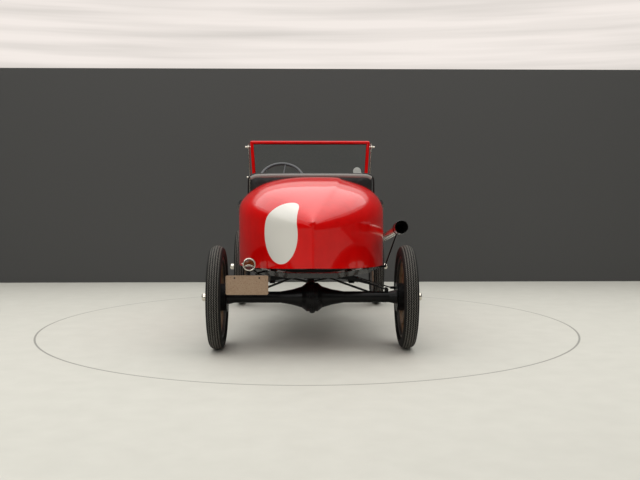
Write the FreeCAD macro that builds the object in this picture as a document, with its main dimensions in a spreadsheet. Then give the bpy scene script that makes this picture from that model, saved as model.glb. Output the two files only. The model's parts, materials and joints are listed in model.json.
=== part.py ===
# Two-seat boat-tail speedster car of the 1920s on a light ladder chassis with wood-spoke wheels.
# Millimetres. +Y is forward, +X is the car's right side, +Z is up, and the tyres stand on Z = 0.
import FreeCAD, Part
import math
import os
import Sketcher
from FreeCAD import Placement, Rotation, Vector

document = FreeCAD.newDocument("Speedster")

# Driving dimensions, one spreadsheet cell each
driving = {
    # wheels
    "wheelbase": 2540,
    "track": 1422,
    "tyre_radius": 390,
    "tyre_width": 108,
    "bead_radius": 297,
    "rim_width": 78,
    "felloe_depth": 30,
    "felloe_width": 44,
    "spoke_count": 12,
    "spoke_root_radius": 19,
    "spoke_tip_radius": 12,
    "hub_flange_radius": 76,
    "hub_barrel_radius": 34,
    "hub_cap_radius": 30,
    "hub_cap_reach": 118,
    "hub_inner_reach": 46,
    "drum_radius": 104,
    "drum_width": 44,
    "drum_gap": 5,
    # ladder frame
    "rail_gap_share": 0.39381,
    "rail_depth": 76,
    "rail_flange": 42,
    "rail_gauge": 6,
    "rail_top": 565,
    "spring_bay": 42,
    "cross_member_shelf": 48,
    # rear axle
    "axle_tube_radius": 42,
    "axle_bell_radius": 108,
    "axle_seam_radius": 117,
    "axle_seam_width": 40,
    "axle_bell_reach": 150,
    "backing_plate_radius": 110,
    "backing_plate_gauge": 6,
    "torque_tube_radius": 32,
    "gearbox_share": 0.563,
    # springs
    "spring_width": 56,
    "leaf_gauge": 7,
    "rear_spring_inset": 149,
    "rear_perch_height": 54,
    "front_spring_inset": 195,
    "front_perch_height": 118,
    # front axle and steering
    "kingpin_offset": 92,
    "kingpin_radius": 11,
    "beam_depth": 44,
    "beam_width": 32,
    "beam_drop": 36,
    "steering_arm": 140,
    "tie_rod_radius": 10,
    "tie_rod_rise": 14,
    "column_radius": 19,
    "wheel_rim_radius": 200,
    "wheel_rim_gauge": 13,
    "column_rail_gap": 30,
    "steering_wheel_share": 0.3976,
    "column_foot_ahead": 27.33,
    "column_foot_height": 508,
    "steering_wheel_height": 1282,
    "pitman_length": 110,
    # engine and nose
    "engine_width": 330,
    "engine_behind_axle": 175,
    "engine_top": 985,
    "engine_bottom": 430,
    "radiator_width": 590,
    "radiator_depth": 92,
    "radiator_top": 1130,
    "radiator_border": 42,
    "hood_gap": 6,
    "hood_gauge": 3,
    "hood_side_bottom": 716,
    "hood_hinge_radius": 5,
    "hood_strip_half": 12,
    # body
    "body_bottom": 600,
    "body_gauge": 14,
    "cowl_front_share": 0.75,
    "cowl_back_share": 0.5236,
    "firewall_half": 318,
    "firewall_gauge": 22,
    "cowl_taper": 36,
    "cowl_top": 1232,
    "cockpit_back_share": 0.1969,
    "body_tyre_gap": 73,
    "waist_swell": 14,
    "cockpit_dip": 1030,
    "coaming_radius": 26,
    "coaming_back_gap": 6,
    "tail_top": 1302,
    "tail_side_top": 1000,
    "tail_reach": 550,
    "tail_stem_half": 9,
    "tail_stem_bottom": 657,
    "tail_stem_top": 976,
    "sill_width": 70,
    # seats
    "seat_side_gap": 55,
    "seat_depth": 500,
    "cushion_top": 905,
    "cushion_thickness": 190,
    "back_thickness": 120,
    "back_top": 1333,
    "back_corner": 60,
    # windshield
    "screen_inset": 18,
    "screen_flare": 23,
    "screen_top": 1627,
    "screen_bottom": 1262,
    "screen_tube": 15,
    "glass_gauge": 5,
    "stanchion_radius": 7,
    "mirror_radius": 36,
    # lamps, plate, exhaust
    "headlamp_radius": 112,
    "headlamp_height": 905,
    "headlamp_spread": 340,
    "tail_lamp_radius": 46,
    "tail_lamp_depth": 62,
    "plate_width": 306,
    "plate_height": 140,
    "plate_gauge": 2,
    "pipe_radius": 36,
    "pipe_mouth_radius": 49,
    "pipe_gauge": 3,
    # clearances
    "seat_clearance": 0.3,
    "moving_clearance": 6,
}

sheet = document.addObject("Spreadsheet::Sheet", "Sizes")
for row, (alias, value) in enumerate(driving.items(), 1):
    sheet.set(f"A{row}", alias)
    sheet.set(f"B{row}", str(value))
    sheet.setAlias(f"B{row}", alias)
document.recompute()


class Measure(float):
    # A length that also keeps the spreadsheet formula it comes from.
    def __new__(cls, value, formula):
        measure = super().__new__(cls, value)
        measure.formula = formula
        return measure

    def __add__(self, other):
        return Measure(float(self) + float(other), f"({formula_of(self)} + {formula_of(other)})")

    def __sub__(self, other):
        return Measure(float(self) - float(other), f"({formula_of(self)} - {formula_of(other)})")

    def __mul__(self, other):
        return Measure(float(self) * float(other), f"({formula_of(self)} * {formula_of(other)})")

    def __truediv__(self, other):
        return Measure(float(self) / float(other), f"({formula_of(self)} / {formula_of(other)})")

    def __neg__(self):
        return Measure(-float(self), f"(0 - {formula_of(self)})")

    def __radd__(self, other):
        return Measure(float(other) + float(self), f"({formula_of(other)} + {formula_of(self)})")

    def __rsub__(self, other):
        return Measure(float(other) - float(self), f"({formula_of(other)} - {formula_of(self)})")

    def __rmul__(self, other):
        return self * other


def formula_of(length):
    return length.formula if isinstance(length, Measure) else f"{float(length):.6f}"


class Sizes:
    pass


size = Sizes()
for alias in driving:
    setattr(size, alias, Measure(sheet.get(alias), f"Sizes.{alias}"))

# Places that follow from the driving dimensions
rear_y = -(size.wheelbase + size.tyre_radius - size.tail_reach) / 2
front_y = rear_y + size.wheelbase
axle_z = size.tyre_radius
rail_gap = size.track * size.rail_gap_share
rail_out = rail_gap / 2 + size.rail_flange
rail_bottom = size.rail_top - size.rail_depth
kingpin_x = size.track / 2 - size.kingpin_offset
rear_spring_half = size.track / 2 - size.rear_spring_inset
front_spring_half = kingpin_x - size.front_spring_inset
cowl_front = size.wheelbase * size.cowl_front_share
cowl_back = size.wheelbase * size.cowl_back_share
cockpit_back = size.wheelbase * size.cockpit_back_share
body_half = size.track / 2 - size.tyre_width / 2 - size.body_tyre_gap
cowl_half = body_half - size.cowl_taper
waist = body_half + size.waist_swell
seat_width = (body_half - size.body_gauge - size.seat_side_gap) * 2
screen_half_top = cowl_half - size.screen_inset
screen_half_bottom = screen_half_top - size.screen_flare
gearbox_y = rear_y + size.wheelbase * size.gearbox_share
driver_side = rail_gap / 2 - size.column_rail_gap
sides = {"left": -1, "right": 1}
parts = []


def bind(thing, name, length):
    setattr(thing, name, float(length))
    if isinstance(length, Measure):
        thing.setExpression(name, length.formula)


def new_body(name):
    body = document.addObject("PartDesign::Body", name)
    body.Label = name
    parts.append(body)
    return body


def new_feature(name, shapes):
    feature = document.addObject("Part::Feature", name)
    feature.Shape = shapes if isinstance(shapes, Part.Shape) else Part.makeCompound(shapes)
    feature.Label = name
    parts.append(feature)
    return feature


def move_to(part, x=0, y=0, z=0, rotation=Rotation()):
    part.Placement = Placement(Vector(x, y, z), rotation)
    for axis, length in zip("xyz", (x, y, z)):
        if isinstance(length, Measure):
            part.setExpression(f"Placement.Base.{axis}", length.formula)


def new_sketch(body, role, name, lift=0):
    sketch = body.newObject("Sketcher::SketchObject", name)
    plane = next(item for item in body.Origin.OriginFeatures if item.Role == role)
    sketch.AttachmentSupport = [(plane, "")]
    sketch.MapMode = "FlatFace"
    if lift:
        sketch.AttachmentOffset = Placement(Vector(0, 0, lift), Rotation())
        if isinstance(lift, Measure):
            sketch.setExpression("AttachmentOffset.Base.z", lift.formula)
    return sketch


def hold_point(sketch, index, point, x, y):
    # Ties one point of a sketch to its two distances from the sketch's origin.
    for kind, axis, length in (("DistanceX", -2, x), ("DistanceY", -1, y)):
        if abs(length) < 1e-9:
            sketch.addConstraint(Sketcher.Constraint("PointOnObject", index, point, axis))
        else:
            added = sketch.addConstraint(Sketcher.Constraint(kind, -1, 1, index, point, float(length)))
            if isinstance(length, Measure):
                sketch.setExpression(f"Constraints[{added}]", length.formula)


def draw_polygon(sketch, points):
    first = sketch.GeometryCount
    count = len(points)
    for index in range(count):
        start = Vector(*points[index], 0)
        end = Vector(*points[(index + 1) % count], 0)
        sketch.addGeometry(Part.LineSegment(start, end), False)
    for index in range(count):
        after = first + (index + 1) % count
        sketch.addConstraint(Sketcher.Constraint("Coincident", first + index, 2, after, 1))
    for index, (x, y) in enumerate(points):
        hold_point(sketch, first + index, 1, x, y)


def draw_circle(sketch, x, y, radius):
    index = sketch.addGeometry(Part.Circle(Vector(x, y, 0), Vector(0, 0, 1), radius), False)
    hold_point(sketch, index, 3, x, y)
    added = sketch.addConstraint(Sketcher.Constraint("Radius", index, float(radius)))
    if isinstance(radius, Measure):
        sketch.setExpression(f"Constraints[{added}]", radius.formula)


def box_points(low_x, low_y, high_x, high_y):
    return [(low_x, low_y), (high_x, low_y), (high_x, high_y), (low_x, high_y)]


def extrude(body, sketch, length, kind="Pad", backwards=False):
    feature = body.newObject(f"PartDesign::{kind}", sketch.Name + kind)
    feature.Profile = sketch
    bind(feature, "Length", length)
    feature.Reversed = backwards
    sketch.Visibility = False
    document.recompute()
    return feature


def turn(body, sketch, axis="V_Axis", kind="Revolution"):
    feature = body.newObject(f"PartDesign::{kind}", sketch.Name + kind)
    feature.Profile = sketch
    feature.ReferenceAxis = (sketch, [axis])
    feature.Angle = 360
    document.recompute()
    return feature


def ring_pattern(body, feature, role, count):
    pattern = body.newObject("PartDesign::PolarPattern", feature.Name + "Ring")
    pattern.Originals = [feature]
    axis = next(item for item in body.Origin.OriginFeatures if item.Role == role)
    pattern.Axis = (axis, [""])
    pattern.Angle = 360
    pattern.Occurrences = int(count)
    if isinstance(count, Measure):
        pattern.setExpression("Occurrences", count.formula)
    body.Tip = pattern
    document.recompute()
    return pattern


def round_edges(body, feature, edges, radius):
    fillet = body.newObject("PartDesign::Fillet", feature.Name + "Round")
    fillet.Base = (feature, edges)
    bind(fillet, "Radius", radius)
    document.recompute()
    return fillet


def edges_along(shape, direction):
    # Names of the straight edges that run along a direction.
    names = []
    for index, edge in enumerate(shape.Edges, 1):
        if isinstance(edge.Curve, Part.Line) and abs(edge.Curve.Direction.dot(direction)) > 0.999:
            names.append(f"Edge{index}")
    return names


def rod(start, end, radius):
    return Part.makeCylinder(radius, (end - start).Length, start, end - start)


def ball(centre, radius):
    return Part.makeSphere(radius, centre)


def block(low, high):
    corner = high - low
    return Part.makeBox(corner.x, corner.y, corner.z, low)


def fused(shapes):
    return shapes[0].multiFuse(shapes[1:]).removeSplitter()


def mirrored(shape):
    return shape.mirror(Vector(0, 0, 0), Vector(1, 0, 0))


# Tyres: a round clincher section turned about the axle
def tyre_solid():
    half = size.tyre_width / 2
    bead = size.rim_width / 2 - 5.2
    bead_foot = size.bead_radius - 3.8
    bead_lip = size.bead_radius + 8.2
    waist = size.bead_radius + 0.5 * (size.tyre_radius - size.bead_radius)
    shoulder = size.tyre_radius - 14
    left = [Vector(-bead, bead_lip, 0), Vector(-half, waist, 0), Vector(-0.72 * half, shoulder, 0)]
    crown = Vector(0, size.tyre_radius, 0)
    right = [Vector(-point.x, point.y, 0) for point in left]
    edges = [
        Part.Arc(*left).toShape(),
        Part.Arc(left[2], crown, right[2]).toShape(),
        Part.Arc(right[2], right[1], right[0]).toShape(),
        Part.LineSegment(right[0], Vector(bead, bead_foot, 0)).toShape(),
        Part.LineSegment(Vector(bead, bead_foot, 0), Vector(-bead, bead_foot, 0)).toShape(),
        Part.LineSegment(Vector(-bead, bead_foot, 0), left[0]).toShape(),
    ]
    return Part.Face(Part.Wire(edges)).revolve(Vector(0, 0, 0), Vector(1, 0, 0), 360)


# Wood wheel: hub disc, felloe and steel rim turned in one, with a ring of tapered spokes
def make_wheel(name):
    body = new_body(name)
    felloe_inner = size.bead_radius - 12 - size.felloe_depth
    ring = new_sketch(body, "XY_Plane", name + "_felloe")
    half_felloe = size.felloe_width / 2
    half_rim = size.rim_width / 2
    draw_polygon(ring, [
        (-half_felloe, felloe_inner),
        (half_felloe, felloe_inner),
        (half_felloe, size.bead_radius - 12),
        (half_rim, size.bead_radius - 9),
        (half_rim, size.bead_radius + 8),
        (half_rim - 5, size.bead_radius + 8),
        (half_rim - 5, size.bead_radius - 4),
        (-half_rim + 5, size.bead_radius - 4),
        (-half_rim + 5, size.bead_radius + 8),
        (-half_rim, size.bead_radius + 8),
        (-half_rim, size.bead_radius - 9),
        (-half_felloe, size.bead_radius - 12),
    ])
    turn(body, ring, "H_Axis")
    disc = new_sketch(body, "XY_Plane", name + "_disc")
    half_disc = size.spoke_root_radius + 1
    draw_polygon(disc, box_points(-half_disc, size.hub_barrel_radius, half_disc, size.hub_flange_radius - 4))
    turn(body, disc, "H_Axis")
    spoke = new_sketch(body, "XZ_Plane", name + "_spoke")
    draw_polygon(spoke, [
        (0, size.hub_flange_radius - 22),
        (size.spoke_root_radius, size.hub_flange_radius - 18),
        (size.spoke_root_radius, size.hub_flange_radius + 14),
        (size.spoke_tip_radius, felloe_inner - 30),
        (size.spoke_tip_radius, felloe_inner + 8),
        (0, felloe_inner + 8),
    ])
    spoke_solid = turn(body, spoke, "V_Axis")
    ring_pattern(body, spoke_solid, "X_Axis", size.spoke_count)
    return body


# Hub: barrel, clamping flanges and cap, with the brake drum on the rear wheels; +X points outwards
def make_hub(name, with_drum):
    body = new_body(name)
    profile = new_sketch(body, "XY_Plane", name + "_profile")
    wood = size.spoke_root_radius + 1
    bore = size.kingpin_radius + 2
    inner = -size.hub_inner_reach
    drum_gauge = 5
    points = [
        (inner, bore),
        (wood + 30, bore),
        (wood + 30, 0),
        (size.hub_cap_reach, 0),
        (size.hub_cap_reach, size.hub_cap_radius - 8),
        (size.hub_cap_reach - 8, size.hub_cap_radius),
        (wood + 34, size.hub_cap_radius),
        (wood + 34, size.hub_barrel_radius + 5),
        (wood + 8, size.hub_barrel_radius + 8),
        (wood + 5, size.hub_flange_radius),
        (wood, size.hub_flange_radius),
        (wood, size.hub_barrel_radius),
        (-wood, size.hub_barrel_radius),
    ]
    if with_drum:
        points += [
            (-wood, size.drum_radius),
            (-wood - size.drum_width, size.drum_radius),
            (-wood - size.drum_width, size.drum_radius - drum_gauge),
            (-wood - drum_gauge, size.drum_radius - drum_gauge),
            (-wood - drum_gauge, size.hub_barrel_radius),
        ]
    else:
        points += [
            (-wood, size.hub_flange_radius),
            (-wood - 5, size.hub_flange_radius),
            (-wood - 8, size.hub_barrel_radius + 8),
        ]
    points.append((inner, size.hub_barrel_radius + (0 if with_drum else 4)))
    draw_polygon(profile, points)
    turn(body, profile, "H_Axis")
    return body


tyre_shape = tyre_solid()
for end, axle_y in (("front", front_y), ("rear", rear_y)):
    for side, sign in sides.items():
        outward = Rotation(Vector(0, 0, 1), 0 if sign > 0 else 180)
        place = (sign * size.track / 2, axle_y, axle_z)
        tyre = new_feature(f"tyre_{end}_{side}", tyre_shape)
        move_to(tyre, *place, outward)
        move_to(make_wheel(f"wheel_{end}_{side}"), *place, outward)
        move_to(make_hub(f"hub_{end}_{side}", end == "rear"), *place, outward)


# Frame: two pressed channels, flanges turned inwards, and the members across them
rail_start = rear_y + size.spring_bay
rail_length = size.wheelbase - 2 * size.spring_bay
hole_spacing = 120


def make_rail(name, sign):
    body = new_body(name)
    profile = new_sketch(body, "XZ_Plane", name + "_profile")
    depth = size.rail_depth
    inner = -sign * size.rail_flange
    web = -sign * size.rail_gauge
    draw_polygon(profile, [
        (0, 0),
        (inner, 0),
        (inner, size.rail_gauge),
        (web, size.rail_gauge),
        (web, depth - size.rail_gauge),
        (inner, depth - size.rail_gauge),
        (inner, depth),
        (0, depth),
    ])
    extrude(body, profile, rail_length, backwards=True)
    holes = new_sketch(body, "YZ_Plane", name + "_holes")
    for bracket_y in (rear_y + 900, rear_y + 1700):
        for step in (-0.5, 0.5):
            draw_circle(holes, bracket_y - rail_start + step * hole_spacing, depth / 2, 5.5)
    extrude(body, holes, size.rail_gauge + 1, "Pocket", backwards=sign < 0)
    move_to(body, sign * rail_out, rail_start, rail_bottom)


for side, sign in sides.items():
    make_rail(f"frame_rail_{side}", sign)

inner_half = rail_gap / 2 + size.rail_flange - size.rail_gauge
channel_inside = size.rail_depth - 2 * size.rail_gauge
member_low = rail_bottom + size.rail_gauge


def pressed_tray(low, high):
    # A pressed member, open below.
    gauge = size.rail_gauge
    inside = block(low + Vector(-1, gauge, -1), high - Vector(-1, gauge, gauge))
    return block(low, high).cut(inside)


def end_member(y, half, inward):
    # Arched over a spring, with a shelf that lies on the rail ends.
    low_y = y - size.spring_bay
    tray = pressed_tray(Vector(-half, low_y, size.rail_top),
                        Vector(half, y + size.spring_bay, size.body_bottom))
    shelf_y = y + inward * size.spring_bay
    shelf_low = Vector(-rail_out, min(shelf_y, shelf_y + inward * size.cross_member_shelf), size.rail_top)
    shelf_high = Vector(rail_out, shelf_low.y + size.cross_member_shelf, size.rail_top + size.rail_gauge)
    return fused([tray, block(shelf_low, shelf_high)])


lamp_post_x = size.headlamp_spread
middle_y = gearbox_y - 180
middle_half_width = 36
members = [
    end_member(rear_y, rail_out, 1),
    pressed_tray(Vector(-inner_half, middle_y - middle_half_width, member_low),
                 Vector(inner_half, middle_y + middle_half_width, member_low + channel_inside)),
    end_member(front_y, lamp_post_x + 18, -1),
]
new_feature("frame_cross_members", members)


# Rear axle: a turned housing with two bells and a seam drum, plus backing plates and spring perches
def make_rear_axle():
    body = new_body("rear_axle_housing")
    profile = new_sketch(body, "XY_Plane", "housing_profile")
    wood = size.spoke_root_radius + 1
    plate_x = size.track / 2 - wood - size.drum_width - size.drum_gap
    gauge = size.backing_plate_gauge
    tube = size.axle_tube_radius
    half = [
        (plate_x, 0),
        (plate_x, size.backing_plate_radius),
        (plate_x - gauge, size.backing_plate_radius),
        (plate_x - gauge, tube + 12),
        (plate_x - 60, tube),
        (size.axle_bell_reach + 90, tube + 1),
        (size.axle_bell_reach, tube + 16),
        (size.axle_seam_width + 36, size.axle_bell_radius - 28),
        (size.axle_seam_width / 2 + 22, size.axle_bell_radius),
        (size.axle_seam_width / 2, size.axle_bell_radius),
        (size.axle_seam_width / 2, size.axle_seam_radius),
    ]
    draw_polygon(profile, half + [(-x, y) for x, y in reversed(half)])
    turn(body, profile, "H_Axis")
    move_to(body, 0, rear_y, axle_z)


make_rear_axle()

spindle_gap = 0.05
spindle_root = size.track / 2 - size.spoke_root_radius - 1 - size.drum_width - size.drum_gap
rear_spindles = []
for sign in sides.values():
    inside = Vector(sign * spindle_root, rear_y, axle_z)
    outside = Vector(sign * (size.track / 2 + size.spoke_root_radius + 1 + 28), rear_y, axle_z)
    rear_spindles.append(rod(inside, outside, size.kingpin_radius + 2 - spindle_gap))
new_feature("rear_spindles", rear_spindles)

# Drive: the tube that carries the propeller shaft forward to the gearbox
tube_start = Vector(0, rear_y + size.axle_seam_radius + 0.2, axle_z)
tube_end = Vector(0, gearbox_y, axle_z + 58)
tube_flange = rod(tube_start, tube_start + Vector(0, 34, 0), size.torque_tube_radius + 30)
drive = rod(tube_start + Vector(0, 10, 0), tube_end, size.torque_tube_radius)
beyond_tube = block(tube_end - Vector(200, 0.2, 200), tube_end + Vector(200, 100, 200))
new_feature("drive_shaft_tube", fused([tube_flange, drive]).cut(beyond_tube))


# Transverse leaf springs: a stack of arched leaves, each a little shorter than the one below
def arc_leaf(half, drop, top_z, y, gauge):
    # One leaf, an arc through its two low ends and its middle, with a flat section.
    low_left = Vector(-half, 0, top_z - drop)
    middle = Vector(0, 0, top_z)
    low_right = Vector(half, 0, top_z - drop)
    inner_offset = Vector(0, 0, -gauge)
    edges = [
        Part.Arc(low_left, middle, low_right).toShape(),
        Part.LineSegment(low_right, low_right + inner_offset).toShape(),
        Part.Arc(low_right + inner_offset, middle + inner_offset, low_left + inner_offset).toShape(),
        Part.LineSegment(low_left + inner_offset, low_left).toShape(),
    ]
    leaf = Part.Face(Part.Wire(edges)).extrude(Vector(0, size.spring_width, 0))
    leaf.translate(Vector(0, y - size.spring_width / 2, 0))
    return leaf


def spring_stack(half, eye_z, top_z, y, leaves, foot_z):
    # The leaves, their two eyes on perches that stand on the axle, and the clamp under the frame.
    gauge = size.leaf_gauge
    shapes = []
    full_drop = top_z - gauge * leaves - eye_z
    for index in range(leaves):
        share = 1 - 0.78 * index / leaves
        level = top_z - gauge * (leaves - 1 - index)
        shapes.append(arc_leaf(half * share, full_drop * share ** 2, level, y, gauge + 0.6))
    low = Vector(-half, y - size.spring_width / 2, eye_z + gauge / 2)
    eye = rod(low, low + Vector(0, size.spring_width, 0), 14)
    perch = rod(Vector(-half, y, foot_z + size.seat_clearance), Vector(-half, y, eye_z), 15)
    shapes += [eye, perch, mirrored(eye), mirrored(perch)]
    clamp_low = Vector(-62, y - size.spring_width / 2 - 6, top_z - gauge * (leaves + 2))
    shapes.append(block(clamp_low, Vector(62, y + size.spring_width / 2 + 6, top_z)))
    return fused(shapes)


spring_seat = size.body_bottom - size.rail_gauge
rear_eye_z = axle_z + size.rear_perch_height
beam_z = axle_z - size.beam_drop
beam_top = beam_z + size.beam_depth / 2
front_eye_z = beam_top + size.front_perch_height - size.beam_depth
new_feature("springs", [
    spring_stack(rear_spring_half, rear_eye_z, spring_seat, rear_y, 7,
                 axle_z + size.axle_tube_radius),
    spring_stack(front_spring_half, front_eye_z, spring_seat, front_y, 6, beam_top),
])


# Front axle: a dropped beam between two kingpin bosses
boss_half = 32
ear_depth = 18
boss_radius = 20


def make_front_axle():
    half_width = size.beam_width / 2
    half_depth = size.beam_depth / 2
    bend_x = kingpin_x - 96
    section = [Vector(0, -half_width, -half_depth), Vector(0, half_width, -half_depth),
               Vector(0, half_width, half_depth), Vector(0, -half_width, half_depth)]

    def at(x, z, scale):
        corners = [Vector(x, front_y + point.y * scale, z + point.z * scale) for point in section]
        return Part.makePolygon(corners + corners[:1])

    stations = [
        at(-kingpin_x + boss_radius / 2, axle_z, 0.9),
        at(-bend_x, beam_z, 1),
    ]
    left = Part.makeLoft(stations, True, True)
    middle = Part.makeLoft([at(-bend_x, beam_z, 1), at(bend_x, beam_z, 1)], True, True)
    flute = block(Vector(-bend_x + 30, 0, -half_depth + 9), Vector(bend_x - 30, 9, half_depth - 9))
    front_flute = flute.copy()
    front_flute.translate(Vector(0, front_y + half_width - 8, beam_z))
    rear_flute = flute.copy()
    rear_flute.translate(Vector(0, front_y - half_width - 1, beam_z))
    boss_low = Vector(-kingpin_x, front_y, axle_z - boss_half)
    boss = rod(boss_low, boss_low + Vector(0, 0, 2 * boss_half), boss_radius)
    beam = fused([left, middle, mirrored(left), boss, mirrored(boss)])
    bore = rod(Vector(-kingpin_x, front_y, axle_z - 99), Vector(-kingpin_x, front_y, axle_z + 99),
               size.kingpin_radius + spindle_gap)
    return beam.cut([front_flute, rear_flute, bore, mirrored(bore)])


new_feature("front_axle", make_front_axle())


# Steering knuckles: a fork round the boss with its kingpin, the wheel spindle and an arm to the rear
arm_pin_radius = 6
arm_gauge = 12
tie_rod_z = axle_z - arm_gauge / 2 - size.tie_rod_radius - size.tie_rod_rise


def make_knuckle(sign):
    pin_foot = Vector(kingpin_x, front_y, axle_z - boss_half - ear_depth)
    pin_head = Vector(kingpin_x, front_y, axle_z + boss_half + ear_depth)
    gap = size.seat_clearance
    backbone_in = kingpin_x + boss_radius + 6
    backbone_out = kingpin_x + boss_radius + 18
    shapes = [rod(pin_foot, pin_head, size.kingpin_radius)]
    for low in (pin_foot.z, axle_z + boss_half + gap):
        centre = Vector(kingpin_x, front_y, low)
        shapes.append(rod(centre, centre + Vector(0, 0, ear_depth - gap), boss_radius))
        shapes.append(block(Vector(kingpin_x, front_y - 16, low),
                            Vector(backbone_out, front_y + 16, low + ear_depth - gap)))
    shapes.append(block(Vector(backbone_in, front_y - 18, pin_foot.z),
                        Vector(backbone_out, front_y + 18, pin_head.z)))
    root = Vector(backbone_in + 4, front_y, axle_z)
    spindle_end = Vector(size.track / 2 + size.spoke_root_radius + 29, front_y, axle_z)
    shapes.append(rod(root, spindle_end, size.kingpin_radius + 2 - spindle_gap))
    arm_end = Vector(kingpin_x, front_y - size.steering_arm, axle_z)
    arm_root = Vector(backbone_in + 6, front_y - 12, axle_z)
    bend = Vector(backbone_in, front_y - 48, axle_z)
    arm_radius = arm_gauge / 2 + 2
    shapes += [rod(arm_root, bend, arm_radius), ball(bend, arm_radius), rod(bend, arm_end, arm_radius)]
    eye_low = arm_end - Vector(0, 0, arm_gauge / 2)
    shapes.append(rod(eye_low, eye_low + Vector(0, 0, arm_gauge), 17))
    solid = fused(shapes)
    flat = block(arm_end + Vector(-40, -30, arm_gauge / 2), arm_end + Vector(40, 24, 30))
    flat_low = block(arm_end + Vector(-40, -30, -30), arm_end + Vector(40, 24, -arm_gauge / 2))
    bore = rod(eye_low - Vector(0, 0, 20), eye_low + Vector(0, 0, 40), arm_pin_radius + spindle_gap)
    solid = solid.cut([flat, flat_low, bore])
    return solid if sign > 0 else mirrored(solid)


for side, sign in sides.items():
    new_feature(f"knuckle_{side}", make_knuckle(sign))

# Tie rod between the two arms, and the drag link that reaches back from it to the driver's side
arm_y = front_y - size.steering_arm
rod_end_left = Vector(-kingpin_x, arm_y, tie_rod_z)
tie_shapes = [rod(rod_end_left, Vector(kingpin_x, arm_y, tie_rod_z), size.tie_rod_radius)]
for sign in sides.values():
    foot = Vector(sign * kingpin_x, arm_y, tie_rod_z - size.tie_rod_radius)
    head_z = axle_z - arm_gauge / 2 - size.seat_clearance
    tie_shapes.append(rod(foot, Vector(foot.x, arm_y, head_z), 14))
    tie_shapes.append(rod(foot, Vector(foot.x, arm_y, axle_z + arm_gauge / 2 + 8), arm_pin_radius))
new_feature("tie_rod", fused(tie_shapes))

# Steering column: a fixed jacket from the dash to the frame, with the wheel above and the arm below
wheel_centre = Vector(-driver_side, rear_y + size.wheelbase * size.steering_wheel_share,
                      size.steering_wheel_height)
column_foot = Vector(-driver_side, rear_y + cowl_front + size.column_foot_ahead, size.column_foot_height)
column_axis = (wheel_centre - column_foot).normalize()
arm_axis = column_axis.cross(Vector(-1, 0, 0))
column_lean = math.degrees(math.atan2(-column_axis.y, column_axis.z))
column_head = wheel_centre - column_axis * 96
jacket = rod(column_foot, column_head, size.column_radius)
bracket_top = column_foot + column_axis * 60
rail_inner_x = -rail_gap / 2 - size.rail_flange + size.rail_gauge
bracket = block(Vector(rail_inner_x, bracket_top.y - 30, member_low + 8),
                Vector(bracket_top.x, bracket_top.y + 30, member_low + 34))
shaft_bore = rod(column_foot - column_axis * 90, column_head + column_axis * 9, 11)
new_feature("steering_column", jacket.fuse(bracket).removeSplitter().cut(shaft_bore))


def make_steering_wheel():
    # Built flat about +Z with its hub below, then leaned with the column.
    rim = Part.makeTorus(size.wheel_rim_radius - size.wheel_rim_gauge, size.wheel_rim_gauge)
    shapes = [rim, rod(Vector(0, 0, -42), Vector(0, 0, 6), 38), rod(Vector(0, 0, -95), Vector(0, 0, 0), 30),
              rod(Vector(0, 0, -150), Vector(0, 0, 0), 10)]
    for index in range(4):
        angle = math.radians(80 + 90 * index)
        tip = Vector(math.cos(angle), math.sin(angle), 0) * (size.wheel_rim_radius - size.wheel_rim_gauge)
        knee = tip * 0.5 + Vector(0, 0, -16)
        shapes += [rod(Vector(0, 0, -16), knee, 7), ball(knee, 7), rod(knee, tip, 7)]
    return fused(shapes)


wheel_node = new_feature("steering_wheel", make_steering_wheel())
move_to(wheel_node, *wheel_centre, Rotation(Vector(1, 0, 0), column_lean))

arm_hub = column_foot - column_axis * 1
pitman_ball = column_foot - column_axis * 16 + arm_axis * size.pitman_length
pitman = fused([
    rod(arm_hub, column_foot - column_axis * 30, 16),
    rod(arm_hub, column_foot + column_axis * 80, 10.9),
    rod(column_foot - column_axis * 16, pitman_ball, 9),
    ball(pitman_ball, 13),
])
new_feature("pitman_arm", pitman)

link_start = Vector(0.62 * kingpin_x, arm_y - size.tie_rod_radius - 14, tie_rod_z)
link_end = Vector(pitman_ball.x + 24, pitman_ball.y + 26, pitman_ball.z - 44)
drag_link = fused([
    rod(link_start, link_end, 9),
    rod(link_start, Vector(link_start.x, arm_y - size.tie_rod_radius - size.seat_clearance, tie_rod_z), 13),
    ball(link_start, 13),
    ball(link_end, 15),
])
new_feature("drag_link", drag_link)


# Under the car: radius rods, brake rods and the front wishbone, all plain round rods
def split_pair(shape):
    return [shape, mirrored(shape)]


shaft_y = gearbox_y - 40
shaft_z = rail_bottom + 19
radius_rod = rod(Vector(rear_spring_half - 17, rear_y, axle_z - 4),
                 Vector(30, gearbox_y - 120, axle_z + 56), 9)
axle_keep_out = rod(Vector(-size.track / 2, rear_y, axle_z), Vector(size.track / 2, rear_y, axle_z),
                    size.axle_tube_radius + 16 + size.seat_clearance)
tube_keep_out = rod(tube_start, tube_end, size.torque_tube_radius + size.seat_clearance)
radius_rod = radius_rod.cut([axle_keep_out, tube_keep_out])
wishbone_ball = Vector(0, gearbox_y + 40, axle_z - 52)
wishbone_foot = Vector(front_spring_half + 19, front_y, beam_z - size.beam_depth / 2 - 14)
wishbone_leg = fused([
    rod(wishbone_foot, wishbone_ball, 12),
    rod(wishbone_foot - Vector(0, 0, 6), wishbone_foot + Vector(0, 0, 14 - size.seat_clearance), 17),
])
wishbone = fused([wishbone_leg, mirrored(wishbone_leg), ball(wishbone_ball, 24),
                  rod(wishbone_ball, wishbone_ball + Vector(0, 0, 56), 12)])
brake_lever_x = rail_gap / 2 - 18
brake_lever_end = Vector(brake_lever_x, shaft_y, shaft_z - 64)
brake_boss_x = spindle_root - size.backing_plate_gauge - size.seat_clearance
brake_end = Vector(brake_boss_x - 29.7, rear_y + 66, axle_z + 62)
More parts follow.
